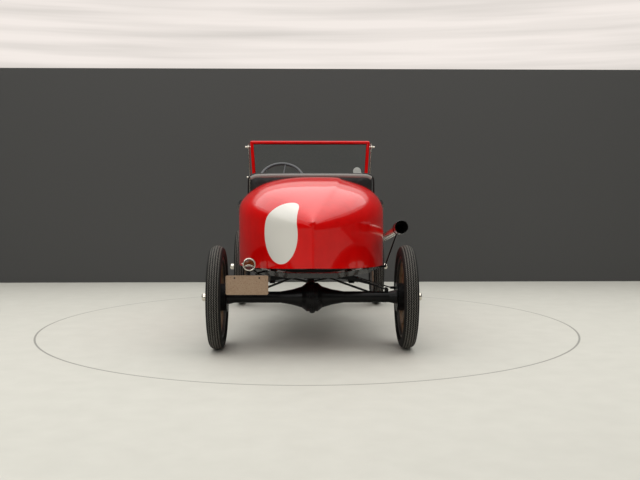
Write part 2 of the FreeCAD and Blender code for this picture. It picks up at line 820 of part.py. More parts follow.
brake_shaft = fused(
    [rod(Vector(-inner_half, shaft_y, shaft_z), Vector(inner_half, shaft_y, shaft_z), 11)]
    + split_pair(rod(Vector(brake_lever_x, shaft_y, shaft_z), brake_lever_end, 8))
    + split_pair(rod(brake_lever_end, brake_end, 5))
    + split_pair(rod(brake_end - Vector(8, 0, 0), Vector(brake_boss_x, brake_end.y, brake_end.z), 10)))
new_feature("chassis_rods", split_pair(radius_rod) + [wishbone, brake_shaft])


# Engine: one plain block with its sump, gearbox cone and the arms that carry it on the rails
engine_firewall_gap = 8
engine_front = front_y - size.engine_behind_axle
engine_back = rear_y + cowl_front + size.firewall_gauge + engine_firewall_gap
engine_half = size.engine_width / 2
gearbox_centre = size.engine_bottom + 40
engine = fused([
    block(Vector(-engine_half, engine_back, size.engine_bottom),
          Vector(engine_half, engine_front, size.engine_top)),
    Part.makeCone(92, 66, engine_back - gearbox_y, Vector(0, engine_back, gearbox_centre), Vector(0, -1, 0)),
    block(Vector(-rail_out + 10, engine_back + 10, size.rail_top),
          Vector(rail_out - 10, engine_back + 60, size.rail_top + 24)),
    block(Vector(-40, engine_front - 1, size.rail_top + 6),
          Vector(40, front_y - size.spring_bay, size.rail_top + 32)),
])
new_feature("engine_block", engine)


# Outline shared by hood, cowl, cockpit and tail: flat floor, upright sides, a super-ellipse over the top
def crown_curve(points, start, end):
    curve = Part.BSplineCurve()
    curve.interpolate(Points=points, InitialTangent=start, FinalTangent=end)
    return curve.toShape()


crown_exponent = 2.3


def body_section(y, half, bottom, side_top, top, exponent=crown_exponent, steps=4):
    right = []
    for index in range(steps + 1):
        angle = math.pi / 2 * index / steps
        across = abs(math.cos(angle)) ** (2 / exponent) if index < steps else 0
        rise = math.sin(angle) ** (2 / exponent)
        right.append(Vector(half * across, y, side_top + (top - side_top) * rise))
    left = [Vector(-point.x, y, point.z) for point in reversed(right)]
    low_right = Vector(half, y, bottom)
    low_left = Vector(-half, y, bottom)
    return Part.Wire([
        Part.LineSegment(low_left, low_right).toShape(),
        Part.LineSegment(low_right, right[0]).toShape(),
        crown_curve(right, Vector(0, 0, 1), Vector(-1, 0, 0)),
        crown_curve(left, Vector(-1, 0, 0), Vector(0, 0, -1)),
        Part.LineSegment(left[-1], low_left).toShape(),
    ])


def body_shell(stations, gauge):
    # Each station is y, half width, bottom, side top, top. The inside is the same loft, a wall smaller.
    outer = Part.makeLoft([body_section(*station) for station in stations], True, False)
    inner_stations = []
    for y, half, bottom, side_top, top in stations:
        inner_stations.append([y, half - gauge, bottom - 80, side_top - gauge / 2, top - gauge])
    overrun = math.copysign(5, stations[-1][0] - stations[0][0])
    inner_stations[0][0] -= overrun
    inner_stations[-1][0] += overrun
    inner = Part.makeLoft([body_section(*station) for station in inner_stations], True, False)
    return outer.cut(inner)


nose_crown = 200
firewall_y = rear_y + cowl_front
firewall_face = firewall_y + size.firewall_gauge
radiator_back = front_y - size.radiator_depth / 2
radiator_half = size.radiator_width / 2
nose_side_top = size.radiator_top - nose_crown
nose_section = (size.firewall_half, size.body_bottom, nose_side_top, size.radiator_top)
hinge_z = size.radiator_top - size.hood_hinge_radius - 2
firewall = Part.Face(body_section(firewall_y, *nose_section)).extrude(Vector(0, size.firewall_gauge, 0))
hinge_rod = rod(Vector(size.hood_strip_half, firewall_face - 1, hinge_z),
                Vector(size.hood_strip_half, radiator_back, hinge_z), size.hood_hinge_radius)
strip = block(Vector(-size.hood_strip_half, firewall_face - 1, hinge_z - size.hood_hinge_radius),
              Vector(size.hood_strip_half, radiator_back, hinge_z + size.hood_hinge_radius))
new_feature("firewall", fused([firewall, strip, hinge_rod, mirrored(hinge_rod)]))

# Radiator: a rounded shell round a core that stands on the rails
radiator_section = (radiator_half, size.body_bottom, nose_side_top, size.radiator_top)
shell = Part.Face(body_section(radiator_back, *radiator_section)).extrude(Vector(0, size.radiator_depth, 0))
window_half = radiator_half - size.radiator_border
window_top = size.radiator_top - 1.6 * size.radiator_border
window_section = (window_half, size.body_bottom + size.radiator_border, nose_side_top - 20, window_top)
window = Part.Face(body_section(radiator_back - 1, *window_section)).extrude(
    Vector(0, size.radiator_depth + 2, 0))
neck = rod(Vector(0, front_y, size.radiator_top - 6), Vector(0, front_y, size.radiator_top + 22), 30)
cap = rod(Vector(0, front_y, size.radiator_top + 22), Vector(0, front_y, size.radiator_top + 36), 38)
new_feature("radiator_shell", fused([shell.cut(window), neck, cap]))
core_section = (window_half - 0.4, size.body_bottom + size.radiator_border, nose_side_top - 20,
                window_top - 0.4)
core = Part.Face(body_section(radiator_back + 14, *core_section)).extrude(
    Vector(0, size.radiator_depth - 26, 0))
new_feature("radiator_core", core.cut(shell.cut(window)))

# Hood: two pressed halves on the hinge rod between firewall and radiator
hood_back = firewall_face + size.hood_gap
hood_front = radiator_back - size.hood_gap
hood_stations = [
    (hood_back, size.firewall_half, size.hood_side_bottom, nose_side_top, size.radiator_top),
    (hood_front, radiator_half, size.hood_side_bottom, nose_side_top, size.radiator_top),
]
hood_shell = body_shell(hood_stations, size.hood_gauge)
hood_edge = size.hood_strip_half + size.hood_hinge_radius + size.seat_clearance
hood_keep = block(Vector(hood_edge, hood_back - 1, size.hood_side_bottom - 1),
                  Vector(size.firewall_half + 1, hood_front + 1, size.radiator_top + 1))
hood_right = hood_shell.common(hood_keep)
curl = rod(Vector(hood_edge + 4, hood_back, hinge_z), Vector(hood_edge + 4, hood_front, hinge_z), 4)
hood_right = fused([hood_right, curl])
new_feature("hood_right", hood_right)
new_feature("hood_left", mirrored(hood_right))

# Cowl, cockpit walls and tail share their plan from firewall to tail
cowl_end = rear_y + cowl_back
cockpit_end = rear_y + cockpit_back
waist_y = (cowl_end + cockpit_end) / 2
cowl_middle = firewall_y - 0.45 * (cowl_front - cowl_back)
cowl_stations = [
    (firewall_y, size.firewall_half, size.body_bottom, nose_side_top, size.radiator_top),
    (cowl_middle, (size.firewall_half + cowl_half) / 2 + 8, size.body_bottom, nose_side_top + 30,
     size.radiator_top + 36),
    (cowl_end, cowl_half, size.body_bottom, size.tail_side_top, size.cowl_top),
]
new_feature("cowl", body_shell(cowl_stations, size.body_gauge))

side_stations = [
    (cowl_end, cowl_half, size.body_bottom, size.tail_side_top, size.cowl_top),
    (waist_y, waist, size.body_bottom, size.tail_side_top, size.tail_top - 20),
    (cockpit_end, body_half, size.body_bottom, size.tail_side_top, size.tail_top),
]
dip_half = (cowl_back - cockpit_back) / 2
dip_sag = 135
dip_radius = (dip_half ** 2 + dip_sag ** 2) / (2 * dip_sag)
dip_centre = Vector(0, waist_y, size.cockpit_dip + dip_radius)
dip_cut = rod(dip_centre - Vector(size.track, 0, 0), dip_centre + Vector(size.track, 0, 0),
              dip_radius + size.coaming_radius)
right_wall = body_shell(side_stations, size.body_gauge).common(
    block(Vector(0, cockpit_end, size.body_bottom),
          Vector(size.track, cowl_end, size.cockpit_dip + dip_sag - 30)))
right_wall = right_wall.cut(dip_cut)
new_feature("cockpit_sides", split_pair(right_wall))


def tail_stations():
    stations = []
    length = cockpit_back + size.tail_reach
    for share in (0, 0.16, 0.34, 0.52, 0.7, 0.86, 1):
        half = size.tail_stem_half + (body_half - size.tail_stem_half) * (1 - share ** 1.8)
        bottom = size.body_bottom + (size.tail_stem_bottom - size.body_bottom) * share ** 2
        top = size.tail_top - (size.tail_top - size.tail_stem_top) * share ** 1.6
        side_top = size.tail_side_top - (size.tail_side_top - size.tail_stem_top + 60) * share
        stations.append((cockpit_end - length * share, half, bottom, side_top, top))
    return stations


tail = Part.makeLoft([body_section(*station) for station in tail_stations()], True, False)
new_feature("tail", tail)

# Wooden sills under the body, with boards across the frame
sill_rear = rail_out + 108
sill_plan = [
    (size.firewall_half - 18, cowl_front - 5),
    (cowl_half - 28, cowl_back),
    (waist - 32, (cowl_back + cockpit_back) / 2),
    (body_half - 28, cockpit_back),
    (sill_rear, 60),
    (sill_rear - 250, -300),
]


def plan_ring(points, low, high):
    right = [Vector(x, rear_y + y, low) for x, y in points]
    left = [Vector(-x, rear_y + y, low) for x, y in reversed(points)]
    outline = Part.makePolygon(right + left + right[:1])
    return Part.Face(outline).extrude(Vector(0, 0, high - low))


sill_inside = [(x - size.sill_width, y) for x, y in sill_plan]
sill_inside[0] = (sill_inside[0][0], cowl_front - 65)
sill_inside[-1] = (sill_inside[-1][0] + 10, -240)
sill_ring = plan_ring(sill_plan, size.rail_top, size.body_bottom).cut(
    plan_ring(sill_inside, size.rail_top - 1, size.body_bottom + 1))
boards = []
for board_y, board_half in ((cockpit_back - 20, body_half - 64), (cowl_back, cowl_half - 48)):
    low = Vector(-board_half, rear_y + board_y - 45, size.rail_top)
    boards.append(block(low, Vector(board_half, rear_y + board_y + 45, size.body_bottom)))
column_hole = rod(column_foot - column_axis * 200, column_head, size.column_radius + size.moving_clearance)
rear_member_bay = block(Vector(-rail_out - 1, rear_y - size.spring_bay - 1, size.rail_top - 1),
                        Vector(rail_out + 1, rear_y + size.spring_bay + size.cross_member_shelf + 1,
                               size.body_bottom + 1))
new_feature("body_sills", fused([sill_ring] + boards).cut([column_hole, rear_member_bay]))

# Floor and toe board, both cut out for the column
floor_gauge = 18
toe_length = 405
toe_back = firewall_y - toe_length
toe_front = firewall_y - 4
toe_rise = 240
floor_half = body_half - 132
floor_back = cockpit_end + 60
floor = block(Vector(-floor_half, floor_back, size.body_bottom),
              Vector(floor_half, toe_back, size.body_bottom + floor_gauge))
toe_profile = [Vector(0, toe_back, size.body_bottom), Vector(0, toe_back + 30, size.body_bottom),
               Vector(0, toe_front, size.body_bottom + toe_rise - 14),
               Vector(0, toe_front, size.body_bottom + toe_rise),
               Vector(0, toe_back, size.body_bottom + floor_gauge)]
toe_half = size.firewall_half - 22
toe_face = Part.Face(Part.makePolygon(toe_profile + toe_profile[:1]))
toe_face.translate(Vector(-toe_half, 0, 0))
toe_board = toe_face.extrude(Vector(2 * toe_half, 0, 0))
seat_base_top = size.cushion_top - size.cushion_thickness
seat_base_half = seat_width / 2 - 15
base_front = cockpit_end + size.back_thickness + size.seat_depth - 20
base_low = Vector(-seat_base_half, cockpit_end + size.back_thickness + 20, size.body_bottom + floor_gauge)
base_wall = 20
seat_base = block(base_low, Vector(seat_base_half, base_front, seat_base_top)).cut(
    block(base_low + Vector(base_wall, base_wall, -1),
          Vector(seat_base_half - base_wall, base_front - base_wall, seat_base_top - base_wall)))
new_feature("floor_boards", fused([floor, toe_board, seat_base]).cut(column_hole))


# Seat: a bench cushion and a back that stands above the tail's shoulders
def soft_block(name, width, depth, height, radius):
    body = new_body(name)
    plan = new_sketch(body, "XY_Plane", name + "_plan")
    draw_polygon(plan, box_points(-width / 2, 0, width / 2, depth))
    solid = extrude(body, plan, height)
    names = [f"Edge{index}" for index in range(1, len(solid.Shape.Edges) + 1)]
    round_edges(body, solid, names, radius)
    return body


seat_back_y = cockpit_end + size.seat_clearance
cushion = soft_block("seat_cushion", seat_width, size.seat_depth, size.cushion_thickness, 34)
move_to(cushion, 0, seat_back_y + size.back_thickness + 1, seat_base_top + size.seat_clearance)
back_bottom = size.cushion_top - 60


def make_seat_back():
    body = new_body("seat_back")
    height = size.back_top - back_bottom
    front = new_sketch(body, "XZ_Plane", "seat_back_front")
    draw_polygon(front, box_points(-seat_width / 2, 0, seat_width / 2, height))
    slab = extrude(body, front, size.back_thickness, "Pad", True)
    shoulders = []
    for index, edge in enumerate(slab.Shape.Edges, 1):
        middle = edge.BoundBox.Center
        if edge.BoundBox.YLength > 1 and middle.z > height / 2:
            shoulders.append(f"Edge{index}")
    shaped = round_edges(body, slab, shoulders, size.back_corner)
    rims = []
    for index, edge in enumerate(shaped.Shape.Edges, 1):
        if edge.BoundBox.YLength < 0.1:
            rims.append(f"Edge{index}")
    round_edges(body, shaped, rims, 34)
    return body


seat_back = make_seat_back()
move_to(seat_back, 0, seat_back_y, back_bottom)

# Padded coaming: a roll swept along the line where the scoop meets the curved cockpit walls
def between(share, front, middle, back):
    # A smooth value through three stations, from share -1 at the cowl to 1 at the tail.
    return front * share * (share - 1) / 2 + middle * (1 - share ** 2) + back * share * (share + 1) / 2


def coaming_point(share):
    y = waist_y - share * dip_half
    z = dip_centre.z - math.sqrt(dip_radius ** 2 - (y - waist_y) ** 2)
    half, top = [between(share, *[station[index] for station in side_stations]) for index in (1, 4)]
    rise = max(z - size.tail_side_top, 0) / (top - size.tail_side_top)
    return Vector(half * (1 - rise ** crown_exponent) ** (1 / crown_exponent) - size.body_gauge / 2, y, z)


coaming_back = 1 - (size.back_thickness + size.coaming_back_gap) / dip_half
coaming_steps = 8
coaming_line = Part.BSplineCurve()
coaming_line.interpolate(Points=[
    coaming_point(coaming_back - (coaming_back + 1) * step / coaming_steps) for step in range(coaming_steps + 1)])
start, heading = coaming_line.value(0), coaming_line.tangent(0)[0]
roll_end = Part.Wire(Part.makeCircle(size.coaming_radius, start, heading))
roll = Part.Wire(coaming_line.toShape()).makePipeShell([roll_end], True, True)
cowl_keep_out = block(Vector(0, cowl_end - size.seat_clearance, size.body_bottom),
                      Vector(size.track, cowl_end + size.track / 8, size.screen_top))
new_feature("cockpit_coaming", split_pair(roll.cut(cowl_keep_out)))

# Windshield: nickel stanchions on the cowl with knobs, the red tube frame and its glass
screen_y = cowl_end + 60
stanchion_x = screen_half_top + size.screen_tube + 16
stanchion_foot_z = size.tail_side_top + 10
stanchion_foot_x = cowl_half + 4
knob_top = Vector(stanchion_x, screen_y, size.screen_top - 40)
knob_low = Vector(stanchion_x - 14, screen_y, size.screen_bottom + 50)
stanchion_foot = Vector(stanchion_foot_x, screen_y, stanchion_foot_z)
pin_gap = 0.05
stanchion = fused([
    rod(knob_low, knob_top + Vector(0, 0, 30), size.stanchion_radius),
    rod(stanchion_foot, knob_low, size.stanchion_radius + 2),
    ball(knob_top, 13),
    ball(knob_low, 14),
    rod(stanchion_foot - Vector(24, 0, 0), stanchion_foot + Vector(10, 0, 0), 15),
    rod(knob_top - Vector(32, 0, 0), knob_top + Vector(18, 0, 0), 5),
])
grown_stations = [(y, half + size.seat_clearance, bottom, side_top, top + size.seat_clearance)
                  for y, half, bottom, side_top, top in cowl_stations]
cowl_cut = Part.makeLoft([body_section(*station) for station in grown_stations], True, False)
new_feature("windshield_stanchions", [post.cut(cowl_cut) for post in split_pair(stanchion)])

# Round mirror on a cranked arm from the right stanchion's lower knob
mirror_centre = Vector(screen_half_top - 104, screen_y - 58, knob_low.z + 53)
mirror_elbow = Vector(knob_low.x, screen_y - 34, knob_low.z)
mirror = fused([
    rod(mirror_centre, mirror_centre + Vector(0, 9, 0), size.mirror_radius),
    rod(mirror_centre + Vector(0, 7, 0), mirror_centre + Vector(0, 20, 0), 9),
    rod(mirror_centre + Vector(0, 15, 0), mirror_elbow, 4.5),
    ball(mirror_elbow, 4.5),
    rod(mirror_elbow, knob_low, 4.5),
])
new_feature("rear_view_mirror", mirror.cut(stanchion))

tube = size.screen_tube
top_left = Vector(-screen_half_top, screen_y, size.screen_top)
top_right = Vector(screen_half_top, screen_y, size.screen_top)
low_left = Vector(-screen_half_bottom, screen_y, size.screen_bottom)
low_right = Vector(screen_half_bottom, screen_y, size.screen_bottom)
corners = [top_left, top_right, low_right, low_left]
frame_shapes = []
for index, corner in enumerate(corners):
    frame_shapes += [rod(corner, corners[(index + 1) % 4], tube), ball(corner, tube)]
screen_pivot = Vector(0, screen_y, knob_top.z)
pivot_bore = rod(screen_pivot - Vector(size.track / 2, 0, 0), screen_pivot + Vector(size.track / 2, 0, 0),
                 5 + pin_gap)
screen_frame = fused(frame_shapes).cut(pivot_bore)
new_feature("windshield_frame", screen_frame)
glass_corners = []
for corner in corners:
    sideways = -math.copysign(tube - 2, corner.x)
    upwards = math.copysign(tube - 2, screen_pivot.z - 4 * tube - corner.z)
    glass_corners.append(corner + Vector(sideways, -size.glass_gauge / 2, upwards))
pane = Part.Face(Part.makePolygon(glass_corners + glass_corners[:1])).extrude(Vector(0, size.glass_gauge, 0))
new_feature("windshield_glass", pane.cut(screen_frame))

# Headlamps on posts from the rail ends, and their lenses
lamp_y = front_y + 128
lamp_shapes = []
lens_shapes = []
for sign in sides.values():
    back = Vector(sign * size.headlamp_spread, lamp_y - 62, size.headlamp_height)
    front = Vector(back.x, lamp_y + 60, back.z)
    radius = size.headlamp_radius
    bowl = Part.makeCone(46, radius - 8, 80, back, Vector(0, 1, 0)).fuse(
        rod(Vector(back.x, back.y + 80, back.z), front, radius))
    hollow = Part.makeCone(40, radius - 14, 76, back + Vector(0, 6, 0), Vector(0, 1, 0)).fuse(
        rod(Vector(back.x, back.y + 81, back.z), front + Vector(0, 1, 0), radius - 6))
    post_foot = Vector(sign * lamp_post_x, front_y + 20, size.body_bottom)
    post = fused([rod(post_foot, post_foot + Vector(0, 0, 12), 18),
                  rod(post_foot, back + Vector(0, 22, -20), 10)])
    post = post.cut(block(post_foot - Vector(40, 40, 40), post_foot + Vector(40, 40, 0)))
    lamp_shapes.append(fused([bowl, post]).cut(hollow))
    lens = rod(front - Vector(0, 14, 0), front - Vector(0, 8, 0), radius - 6.2)
    lens_shapes.append(lens)
new_feature("headlamps", lamp_shapes)
new_feature("headlamp_lenses", lens_shapes)

# Tail lamp and blank number plate on one bracket from the sill's left rear corner
lamp_centre = Vector(129 - body_half, rear_y - 300, size.body_bottom + 63)
tail_lamp = rod(lamp_centre, lamp_centre + Vector(0, size.tail_lamp_depth, 0), size.tail_lamp_radius)
new_feature("tail_lamp", tail_lamp)


def make_plate():
    body = new_body("number_plate")
    outline = new_sketch(body, "XZ_Plane", "plate_outline")
    draw_polygon(outline, box_points(-size.plate_width / 2, -size.plate_height / 2, size.plate_width / 2,
                                     size.plate_height / 2))
    solid = extrude(body, outline, size.plate_gauge)
    rounded = round_edges(body, solid, edges_along(solid.Shape, Vector(0, 1, 0)), 12)
    holes = new_sketch(body, "XZ_Plane", "plate_holes")
    for sign in sides.values():
        draw_circle(holes, sign * plate_hole_spacing / 2, size.plate_height / 2 - 18, 3.5)
    extrude(body, holes, size.plate_gauge + 2, "Pocket")
    return body


plate_hole_spacing = 178
plate_centre = Vector(113 - body_half, lamp_centre.y, size.body_bottom - 85)
plate = make_plate()
move_to(plate, *plate_centre)
bracket_y = plate_centre.y + size.seat_clearance
lamp_back = lamp_centre + Vector(0, size.tail_lamp_depth, 0)
lamp_arm_y = lamp_back.y + size.seat_clearance
lamp_foot = Vector(lamp_centre.x, lamp_arm_y, lamp_centre.z)
plate_bolt_z = plate_centre.z + size.plate_height / 2 - 18
plate_bolts = []
for sign in sides.values():
    bolt = Vector(plate_centre.x + sign * plate_hole_spacing / 2, plate_centre.y - 10, plate_bolt_z)
    plate_bolts.append(rod(bolt, bolt + Vector(0, 40, 0), 3.5))
pad_low = Vector(-sill_rear, rear_y + 50, size.rail_top - 12)
arm_root = Vector(22 - sill_rear, rear_y + 80, size.rail_top - 8)
arm_tip = Vector(lamp_centre.x, lamp_arm_y + 8, size.body_bottom + 36)
bracket = fused([
    block(Vector(plate_centre.x - 104, bracket_y, 554), Vector(plate_centre.x + 104, bracket_y + 4, 584)),
    block(Vector(lamp_centre.x - 9, bracket_y, 562), Vector(lamp_centre.x + 9, bracket_y + 5, 612)),
    block(Vector(lamp_centre.x - 9, bracket_y, 606), Vector(lamp_centre.x + 9, lamp_arm_y + 10, 612)),
    block(Vector(lamp_centre.x - 9, lamp_arm_y, 606), Vector(lamp_centre.x + 9, lamp_arm_y + 10, 660)),
    rod(lamp_foot, lamp_foot + Vector(0, 10, 0), 24),
    rod(arm_root, arm_tip, 7),
    block(pad_low, pad_low + Vector(50, 60, 12)),
]).cut([sill_ring] + plate_bolts)

# Exhaust: out under the hood's right side, back along the body and up over the rear wheel
pipe_route = [
    Vector(engine_half + 0.2, engine_back + 200, 668),
    Vector(engine_half + 180, engine_back + 115, 668),
    Vector(cowl_half + 64, firewall_y - 155, 705),
    Vector(body_half + 71, cowl_end - 130, 770),
    Vector(body_half + 93, rear_y + 18, 918),
]
mouth_direction = (pipe_route[-1] - pipe_route[-2]).normalize()
mouth_start = pipe_route[-1] - mouth_direction * 150
pipe_shapes = [rod(mouth_start, pipe_route[-1], size.pipe_mouth_radius)]
for start, end in zip(pipe_route, pipe_route[1:]):
    pipe_shapes.append(rod(start, end, size.pipe_radius))
for knee in pipe_route[1:-1]:
    pipe_shapes.append(ball(knee, size.pipe_radius))
mouth_bore = rod(pipe_route[-1] - mouth_direction * 400, pipe_route[-1] + mouth_direction,
                 size.pipe_radius - size.pipe_gauge)
mouth_flare = rod(mouth_start + mouth_direction * 20, pipe_route[-1] + mouth_direction,
                  size.pipe_mouth_radius - size.pipe_gauge)
engine_keep_out = block(Vector(0, engine_back, 600), Vector(engine_half + 0.2, engine_front, 800))
exhaust = fused(pipe_shapes).cut([mouth_bore, mouth_flare, engine_keep_out])
new_feature("exhaust_pipe", exhaust)

strut_foot = Vector(body_half + 12, cockpit_end - 60, size.rail_top + 17)
strut_share = 0.846
strut_head = pipe_route[3] + (pipe_route[4] - pipe_route[3]) * strut_share
pipe_keep_out = rod(pipe_route[3], pipe_route[4], size.pipe_radius + size.seat_clearance)
strut = fused([
    rod(strut_foot, strut_head, 6),
    block(Vector(body_half - 44, strut_foot.y - 14, strut_foot.z - 8),
          Vector(strut_foot.x + 8, strut_foot.y + 14, strut_foot.z + 8)),
]).cut([pipe_keep_out, sill_ring])
new_feature("body_brackets", [bracket, strut])

# Pedals on the toe board and the hand lever beside them
toe_slope = (toe_rise - floor_gauge) / (toe_front - toe_back)
toe_normal = Vector(0, -toe_slope, 1).normalize()
pedal_y = toe_back + 190
pedal_z = size.body_bottom + floor_gauge + 190 * toe_slope
lever_knee_room = 129
cushion_front = cockpit_end + size.back_thickness + size.seat_depth
control_shapes = []
for pedal_x in (54 - driver_side, 122 - driver_side, 190 - driver_side):
    foot = Vector(pedal_x, pedal_y, pedal_z)
    control_shapes.append(fused([
        rod(foot, foot + toe_normal * 74, 7),
        rod(foot + toe_normal * 66, foot + toe_normal * 76, 30),
    ]))
lever_foot = Vector(169 - body_half, cushion_front + lever_knee_room, size.body_bottom + floor_gauge)
lever_head = lever_foot + Vector(0, -90, 300)
control_shapes.append(fused([
    block(lever_foot - Vector(12, 40, 0), lever_foot + Vector(12, 40, 18)),
    rod(lever_foot + Vector(0, 0, 6), lever_head, 8),
    rod(lever_head, lever_head + Vector(0, -26, 86), 13),
]))
new_feature("pedals_and_lever", control_shapes)

# Starting handle through the front cross member
crank_z = (size.rail_top + size.body_bottom) / 2
crank_start = Vector(0, front_y + size.spring_bay, crank_z)
crank_turn = crank_start + Vector(0, 150, 0)
crank_low = crank_turn + Vector(0, 0, -170)
crank_tip = crank_low + Vector(0, 120, 0)
new_feature("crank_handle", fused([
    rod(crank_start, crank_turn, 9),
    ball(crank_turn, 9),
    rod(crank_turn, crank_low, 9),
    ball(crank_low, 9),
    rod(crank_low, crank_tip, 9),
    rod(crank_low + Vector(0, 24, 0), crank_tip, 15),
]))

# Every object is checked before any file is written
document.recompute()
for item in document.Objects:
    if "Invalid" in item.State or "Error" in item.State:
        raise RuntimeError(f"{item.Label} did not recompute: {item.State}")
for part in parts:
    if part.Shape.isNull() or not part.Shape.isValid():
        raise RuntimeError(f"{part.Label} has no valid shape")

os.makedirs("parts", exist_ok=True)
for part in parts:
    part.Shape.exportStep(os.path.join("parts", part.Label + ".step"))
print(f"{len(parts)} parts written")
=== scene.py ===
import json
import math

import bmesh
import bpy
from mathutils import Matrix, Vector


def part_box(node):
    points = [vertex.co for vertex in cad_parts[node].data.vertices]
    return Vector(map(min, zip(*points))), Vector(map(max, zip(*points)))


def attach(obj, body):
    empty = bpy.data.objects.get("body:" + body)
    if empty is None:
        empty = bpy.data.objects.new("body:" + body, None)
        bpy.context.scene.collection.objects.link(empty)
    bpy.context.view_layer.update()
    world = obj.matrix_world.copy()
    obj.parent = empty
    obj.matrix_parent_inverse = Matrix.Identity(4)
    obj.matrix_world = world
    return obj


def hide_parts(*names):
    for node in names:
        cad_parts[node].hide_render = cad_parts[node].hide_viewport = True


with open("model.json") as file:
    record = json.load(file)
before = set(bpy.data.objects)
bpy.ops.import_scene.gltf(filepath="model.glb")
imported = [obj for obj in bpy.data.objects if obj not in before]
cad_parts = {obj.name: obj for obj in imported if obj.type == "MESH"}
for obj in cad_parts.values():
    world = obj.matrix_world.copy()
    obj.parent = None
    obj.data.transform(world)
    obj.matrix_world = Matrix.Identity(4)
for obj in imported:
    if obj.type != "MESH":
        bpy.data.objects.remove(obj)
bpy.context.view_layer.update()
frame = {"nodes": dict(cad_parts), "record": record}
nodes = frame["nodes"]
print("frame loaded,", len(nodes), "nodes")

# small tools that every piece uses
at = Matrix.Translation
sides = ((-1, "left"), (1, "right"))


def clearSelection():
    if bpy.context.mode != "OBJECT":
        bpy.ops.object.mode_set(mode="OBJECT")
    bpy.ops.object.select_all(action="DESELECT")


def makeActive(piece):
    clearSelection()
    piece.select_set(True)
    bpy.context.view_layer.objects.active = piece


def editAll(piece):  # opens a piece for editing, all of it selected
    makeActive(piece)
    bpy.ops.object.mode_set(mode="EDIT")
    bpy.ops.mesh.select_all(action="SELECT")


def pick(kind, test):  # edit mode: selects the faces, edges or points that pass the test, and nothing else
    bpy.ops.mesh.select_mode(type=kind)
    bpy.ops.mesh.select_all(action="DESELECT")
    mesh = bmesh.from_edit_mesh(bpy.context.object.data)
    for part in {"FACE": mesh.faces, "EDGE": mesh.edges, "VERT": mesh.verts}[kind]:
        part.select = test(part)
    mesh.select_flush(kind != "EDGE")
    bmesh.update_edit_mesh(bpy.context.object.data)


def called(name):  # names the object that was just added or joined
    piece = bpy.context.object
    piece.name = name
    piece.data.name = name
    return piece


def added(operator, name, **settings):  # adds a primitive with nothing else selected, and names it
    clearSelection()
    operator(**settings)
    return called(name)


def moved(piece, *matrices):  # moves a piece's mesh, the last matrix first
    for matrix in reversed(matrices):
        piece.data.transform(matrix)
    return piece


def bakePlace():  # the active object goes back to the origin and its place into its mesh
    bpy.ops.object.transform_apply(location=True, rotation=True, scale=True)


def applyModifiers(piece):
    makeActive(piece)
    for modifier in list(piece.modifiers):
        bpy.ops.object.modifier_apply(modifier=modifier.name)


def joined(pieces, name):
    makeActive(pieces[0])
    for piece in pieces:
        piece.select_set(True)
    if len(pieces) > 1:
        bpy.ops.object.join()
    return called(name)


def finish(name, pieces, material, body="chassis", smoothAngle=35):
    # Joins what makes up one piece of the car and gives it its finish and the body that it rides.
    piece = joined(pieces, name)
    makeActive(piece)
    bakePlace()
    bpy.ops.object.shade_smooth_by_angle(angle=math.radians(smoothAngle))
    piece.data.materials.clear()
    piece.data.materials.append(material)
    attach(piece, body)
    return piece


def copyPiece(source, matrix):  # a copy with a mesh of its own, moved by a matrix
    twin = source.copy()
    twin.data = source.data.copy()
    bpy.context.scene.collection.objects.link(twin)
    twin.data.transform(matrix)
    if matrix.determinant() < 0:
        twin.data.flip_normals()
    return twin


def mendSkin(merge):  # edit mode: welds doubled points and turns every face outwards
    bpy.ops.mesh.select_all(action="SELECT")
    bpy.ops.mesh.remove_doubles(threshold=merge)
    bpy.ops.mesh.normals_make_consistent(inside=False)
    bpy.ops.object.mode_set(mode="OBJECT")


def turned(profile, name, steps=32, axis="Y"):
    # A closed profile of (radius, along) spun round an axis through the origin. A radius of 0 is a pole.
    piece = added(bpy.ops.mesh.primitive_plane_add, name, size=0.01)
    editAll(piece)
    bpy.ops.mesh.delete(type="VERT")
    mesh = bmesh.from_edit_mesh(piece.data)
    order = {"X": (1, 0, 2), "Y": (0, 1, 2), "Z": (0, 2, 1)}[axis]
    made = [mesh.verts.new([(radius, along, 0)[part] for part in order]) for radius, along in profile]
    pairs = list(zip(made, made[1:]))
    if profile[0][0] > 0 or profile[-1][0] > 0:
        pairs.append((made[-1], made[0]))
    for pair in pairs:
        mesh.edges.new(pair)
    bmesh.update_edit_mesh(piece.data)
    bpy.ops.mesh.select_all(action="SELECT")
    bpy.ops.mesh.spin(steps=steps, angle=2 * math.pi, center=(0, 0, 0),
                      axis=[float(letter == axis) for letter in "XYZ"])
    mendSkin(0.00001)
    return piece


def aim(start, end):  # the matrix that puts a piece built along +Y from the origin onto a line
    start, end = Vector(start), Vector(end)
    return at(start) @ Vector((0, 1, 0)).rotation_difference(end - start).to_matrix().to_4x4()


def tubeAlong(points, radius, name, sides=6, cyclic=False, bend=True):
    # A round bar swept along a curve, which bpy.ops then turns into a mesh.
    clearSelection()
    bpy.ops.curve.primitive_nurbs_path_add()
    curve = bpy.context.object.data
    curve.splines.clear()
    spline = curve.splines.new("NURBS" if bend else "POLY")
    spline.points.add(len(points) - 1)
    for spot, place in zip(spline.points, points):
        spot.co = (*place, 1)
    spline.use_cyclic_u = cyclic
    if bend:
        spline.use_endpoint_u = not cyclic
        spline.order_u = 3
    curve.dimensions = "3D"
    curve.resolution_u = 6
    curve.bevel_depth = radius
    curve.bevel_resolution = sides
    curve.use_fill_caps = not cyclic
    bpy.ops.object.convert(target="MESH")
    return called(name)


def plainBox(low, high, name):
    low, high = Vector(low), Vector(high)
    piece = added(bpy.ops.mesh.primitive_cube_add, name, size=1, location=(low + high) / 2)
    piece.scale = high - low
    bakePlace()
    return piece


